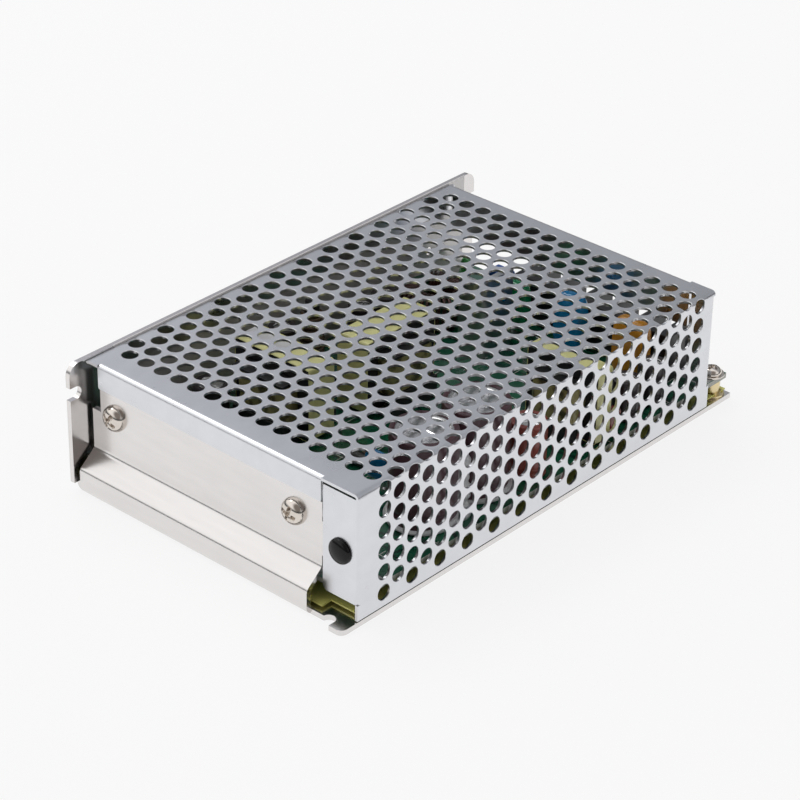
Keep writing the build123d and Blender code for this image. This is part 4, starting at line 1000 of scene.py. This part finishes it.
# Fuse: a glass tube with two plated end caps that snap into the clips on the board. The chips and the
# optocouplers, soldered to the board, are moulded and keep their CAD shapes.
glass = finish(
    "fuse_glass", (0.80, 0.83, 0.82), 0.05, mottle=0.05, scale=300, bump=0.01, Transmission_Weight=0.8
)
fuse_cap_length = 5.0
middle, low, high = centre_of("fuse")
half = (high[0] - low[0]) / 2
profile = [(0.01, 0), (2.2, 0), (2.5, 0.3), (2.5, fuse_cap_length - 0.3), (2.3, fuse_cap_length)]
profile = [(r, h - half) for r, h in profile]
profile += [(r, -h) for r, h in profile[::-1]]
piece("fuse_tube", placed(lathe(profile, 40), middle, "+x"), glass, ("fuse",))
cap = [(0.01, 0), (2.3, 0), (2.55, 0.3), (2.55, fuse_cap_length - 0.2), (2.3, fuse_cap_length)]
cap = lathe(cap, 40)
caps = [placed(cap, middle + (side * half, 0, 0), axis) for side, axis in ((-1, "+x"), (1, "-x"))]
piece("fuse_caps", join(*caps), tinned)
refined("fuse_clips", tinned, bevel=0.08)
refined("control_chips", black_plastic, bevel=0.12)
refined("optocouplers", white_rotor, bevel=0.12)

# Resistors and diodes: coated or moulded bodies on tinned leads, bent down to the board and soldered.
# The resistors are drawn in between their end caps.


def axial(points, body_length, body_radius, span, waist, bend_radius=0.8):
    """Bodies whose radius falls by waist in the middle, as a flat bell, and to nothing at the ends, on leads
    bent down to the board by a quarter circle."""
    bodies, leads = [], []
    for x, y in points:
        t = np.linspace(-1, 1, 25)
        radius = body_radius * (1 - waist * np.exp(-((t / 0.55) ** 4))) * (1 - np.abs(t) ** 10) ** 0.5
        body = lathe(list(zip(radius, t * body_length / 2)), 24)
        bodies.append(placed(body, (x, y, board_top + body_radius), "+x"))
        a = np.linspace(0, math.pi / 2, 7)
        bend_x = span / 2 - bend_radius + bend_radius * np.sin(a)
        bend_z = body_radius - bend_radius + bend_radius * np.cos(a)
        path_x = np.concatenate(((-span / 2,), -bend_x[::-1], bend_x, (span / 2,)))
        path_z = np.concatenate(((0,), bend_z[::-1], bend_z, (0,)))
        path = np.stack((x + path_x, np.full(len(path_x), y), board_top + path_z), axis=1)
        leads.append(wire(path, 0.3))
    return join(*bodies), join(*leads)


resistor_coat = finish("resistor_coat", (0.33, 0.24, 0.17), 0.45, mottle=0.15, scale=500, bump=0.08)
resistor_places = ((-4.0, -38.0), (-4.0, -42.0), (8.0, -36.5), (6.0, -22.0), (20.0, 10.0))
diode_places = ((6.0, -27.0), (-30.0, -54.0), (32.0, -56.0))
bodies, leads = axial(resistor_places, 6.3, 1.2, 10.0, 0.18)
piece("resistor_bodies", bodies, resistor_coat, ("resistors",), smooth=60)
diode_bodies, diode_leads = axial(diode_places, 7.0, 1.9, 12.0, 0.0)
piece("diode_bodies", diode_bodies, black_plastic, ("diodes",), smooth=60)
piece("axial_leads", join(leads, diode_leads), tinned, smooth=60)

# Floor, light and surroundings: a wide pale floor that the lens sees as even white with a faint shadow,
# and mirrors see nearly so, a large soft box high at the front left, and a sky that is darker at the back
# and at the horizon.
floor_mesh = bpy.data.meshes.new("floor")
floor_mesh.from_pydata([(-6, -4, 0), (4, -4, 0), (4, 8, 0), (-6, 8, 0)], [], [(0, 1, 2, 3)])
floor = bpy.data.objects.new("floor", floor_mesh)
bpy.context.collection.objects.link(floor)
paper = bpy.data.materials.new("paper")
paper.use_nodes = True
tree = paper.node_tree
lit = tree.nodes["Principled BSDF"]
lit.inputs["Base Color"].default_value = (0.9, 0.9, 0.9, 1)
lit.inputs["Roughness"].default_value = 0.9
white = node(tree, "ShaderNodeEmission")
paths = node(tree, "ShaderNodeLightPath")
# The share of plain white is 0.87 for the lens and 0.85 for mirrors, which see it brighter by 0.13
eye = calc(tree, "MULTIPLY", None, 0.87)
share = calc(tree, "MULTIPLY_ADD", None, 0.85)
glow = calc(tree, "MULTIPLY_ADD", None, 0.13, 0.97)
blend = node(tree, "ShaderNodeMixShader")
connect(
    tree,
    (paths.outputs["Is Camera Ray"], eye.inputs[0]),
    (eye.outputs[0], share.inputs[2]),
    (paths.outputs["Is Glossy Ray"], share.inputs[0]),
    (paths.outputs["Is Glossy Ray"], glow.inputs[0]),
    (glow.outputs[0], white.inputs["Strength"]),
    (share.outputs[0], blend.inputs["Fac"]),
    (lit.outputs[0], blend.inputs[1]),
    (white.outputs[0], blend.inputs[2]),
    (blend.outputs[0], tree.nodes["Material Output"].inputs["Surface"]),
)
floor_mesh.materials.append(paper)
softbox_data = bpy.data.lights.new("softbox", "AREA")
softbox_data.shape = "RECTANGLE"
softbox_data.size = 0.8
softbox_data.size_y = 0.30
softbox_data.energy = 2.4
softbox = bpy.data.objects.new("softbox", softbox_data)
toward = Vector((-0.57, 0.08, 0.82))
softbox.location = toward * 1.15
softbox.rotation_euler = toward.to_track_quat("Z", "Y").to_euler()
bpy.context.collection.objects.link(softbox)
world = bpy.data.worlds.new("surroundings")
bpy.context.scene.world = world
world.use_nodes = True
sky = world.node_tree
direction = node(sky, "ShaderNodeTexCoord")
rear_side = node(sky, "ShaderNodeVectorMath", operation="DOT_PRODUCT")
rear_side.inputs[1].default_value = (0.0, 0.95, 0.31)
rear_tone = ramp(sky, (0.45, (1, 1, 1)), (0.70, (0.375, 0.38, 0.42)), (0.85, (0.315, 0.325, 0.34)))
height = node(sky, "ShaderNodeSeparateXYZ")
horizon = ramp(sky, (0.12, (0.10, 0.10, 0.105)), (0.34, (1, 1, 1)))
front_side = node(sky, "ShaderNodeVectorMath", operation="DOT_PRODUCT")
front_side.inputs[1].default_value = (0.55, -0.52, 0.65)
front_tone = ramp(sky, (0.68, (1, 1, 1)), (0.90, (0.22, 0.20, 0.19)))
tone = node(sky, "ShaderNodeMix", data_type="RGBA", blend_type="MULTIPLY")
both_tones = node(sky, "ShaderNodeMix", data_type="RGBA", blend_type="MULTIPLY")
for product in (tone, both_tones):
    product.inputs["Factor"].default_value = 1.0
connect(
    sky,
    (direction.outputs["Generated"], rear_side.inputs[0]),
    (rear_side.outputs["Value"], rear_tone.inputs[0]),
    (direction.outputs["Generated"], height.inputs[0]),
    (height.outputs["Z"], horizon.inputs[0]),
    (direction.outputs["Generated"], front_side.inputs[0]),
    (front_side.outputs["Value"], front_tone.inputs[0]),
    (rear_tone.outputs[0], tone.inputs["A"]),
    (horizon.outputs[0], tone.inputs["B"]),
    (tone.outputs["Result"], both_tones.inputs["A"]),
    (front_tone.outputs[0], both_tones.inputs["B"]),
    (both_tones.outputs["Result"], sky.nodes["Background"].inputs["Color"]),
)
sky.nodes["Background"].inputs["Strength"].default_value = 1.22
bpy.context.scene.view_settings.view_transform = "Standard"
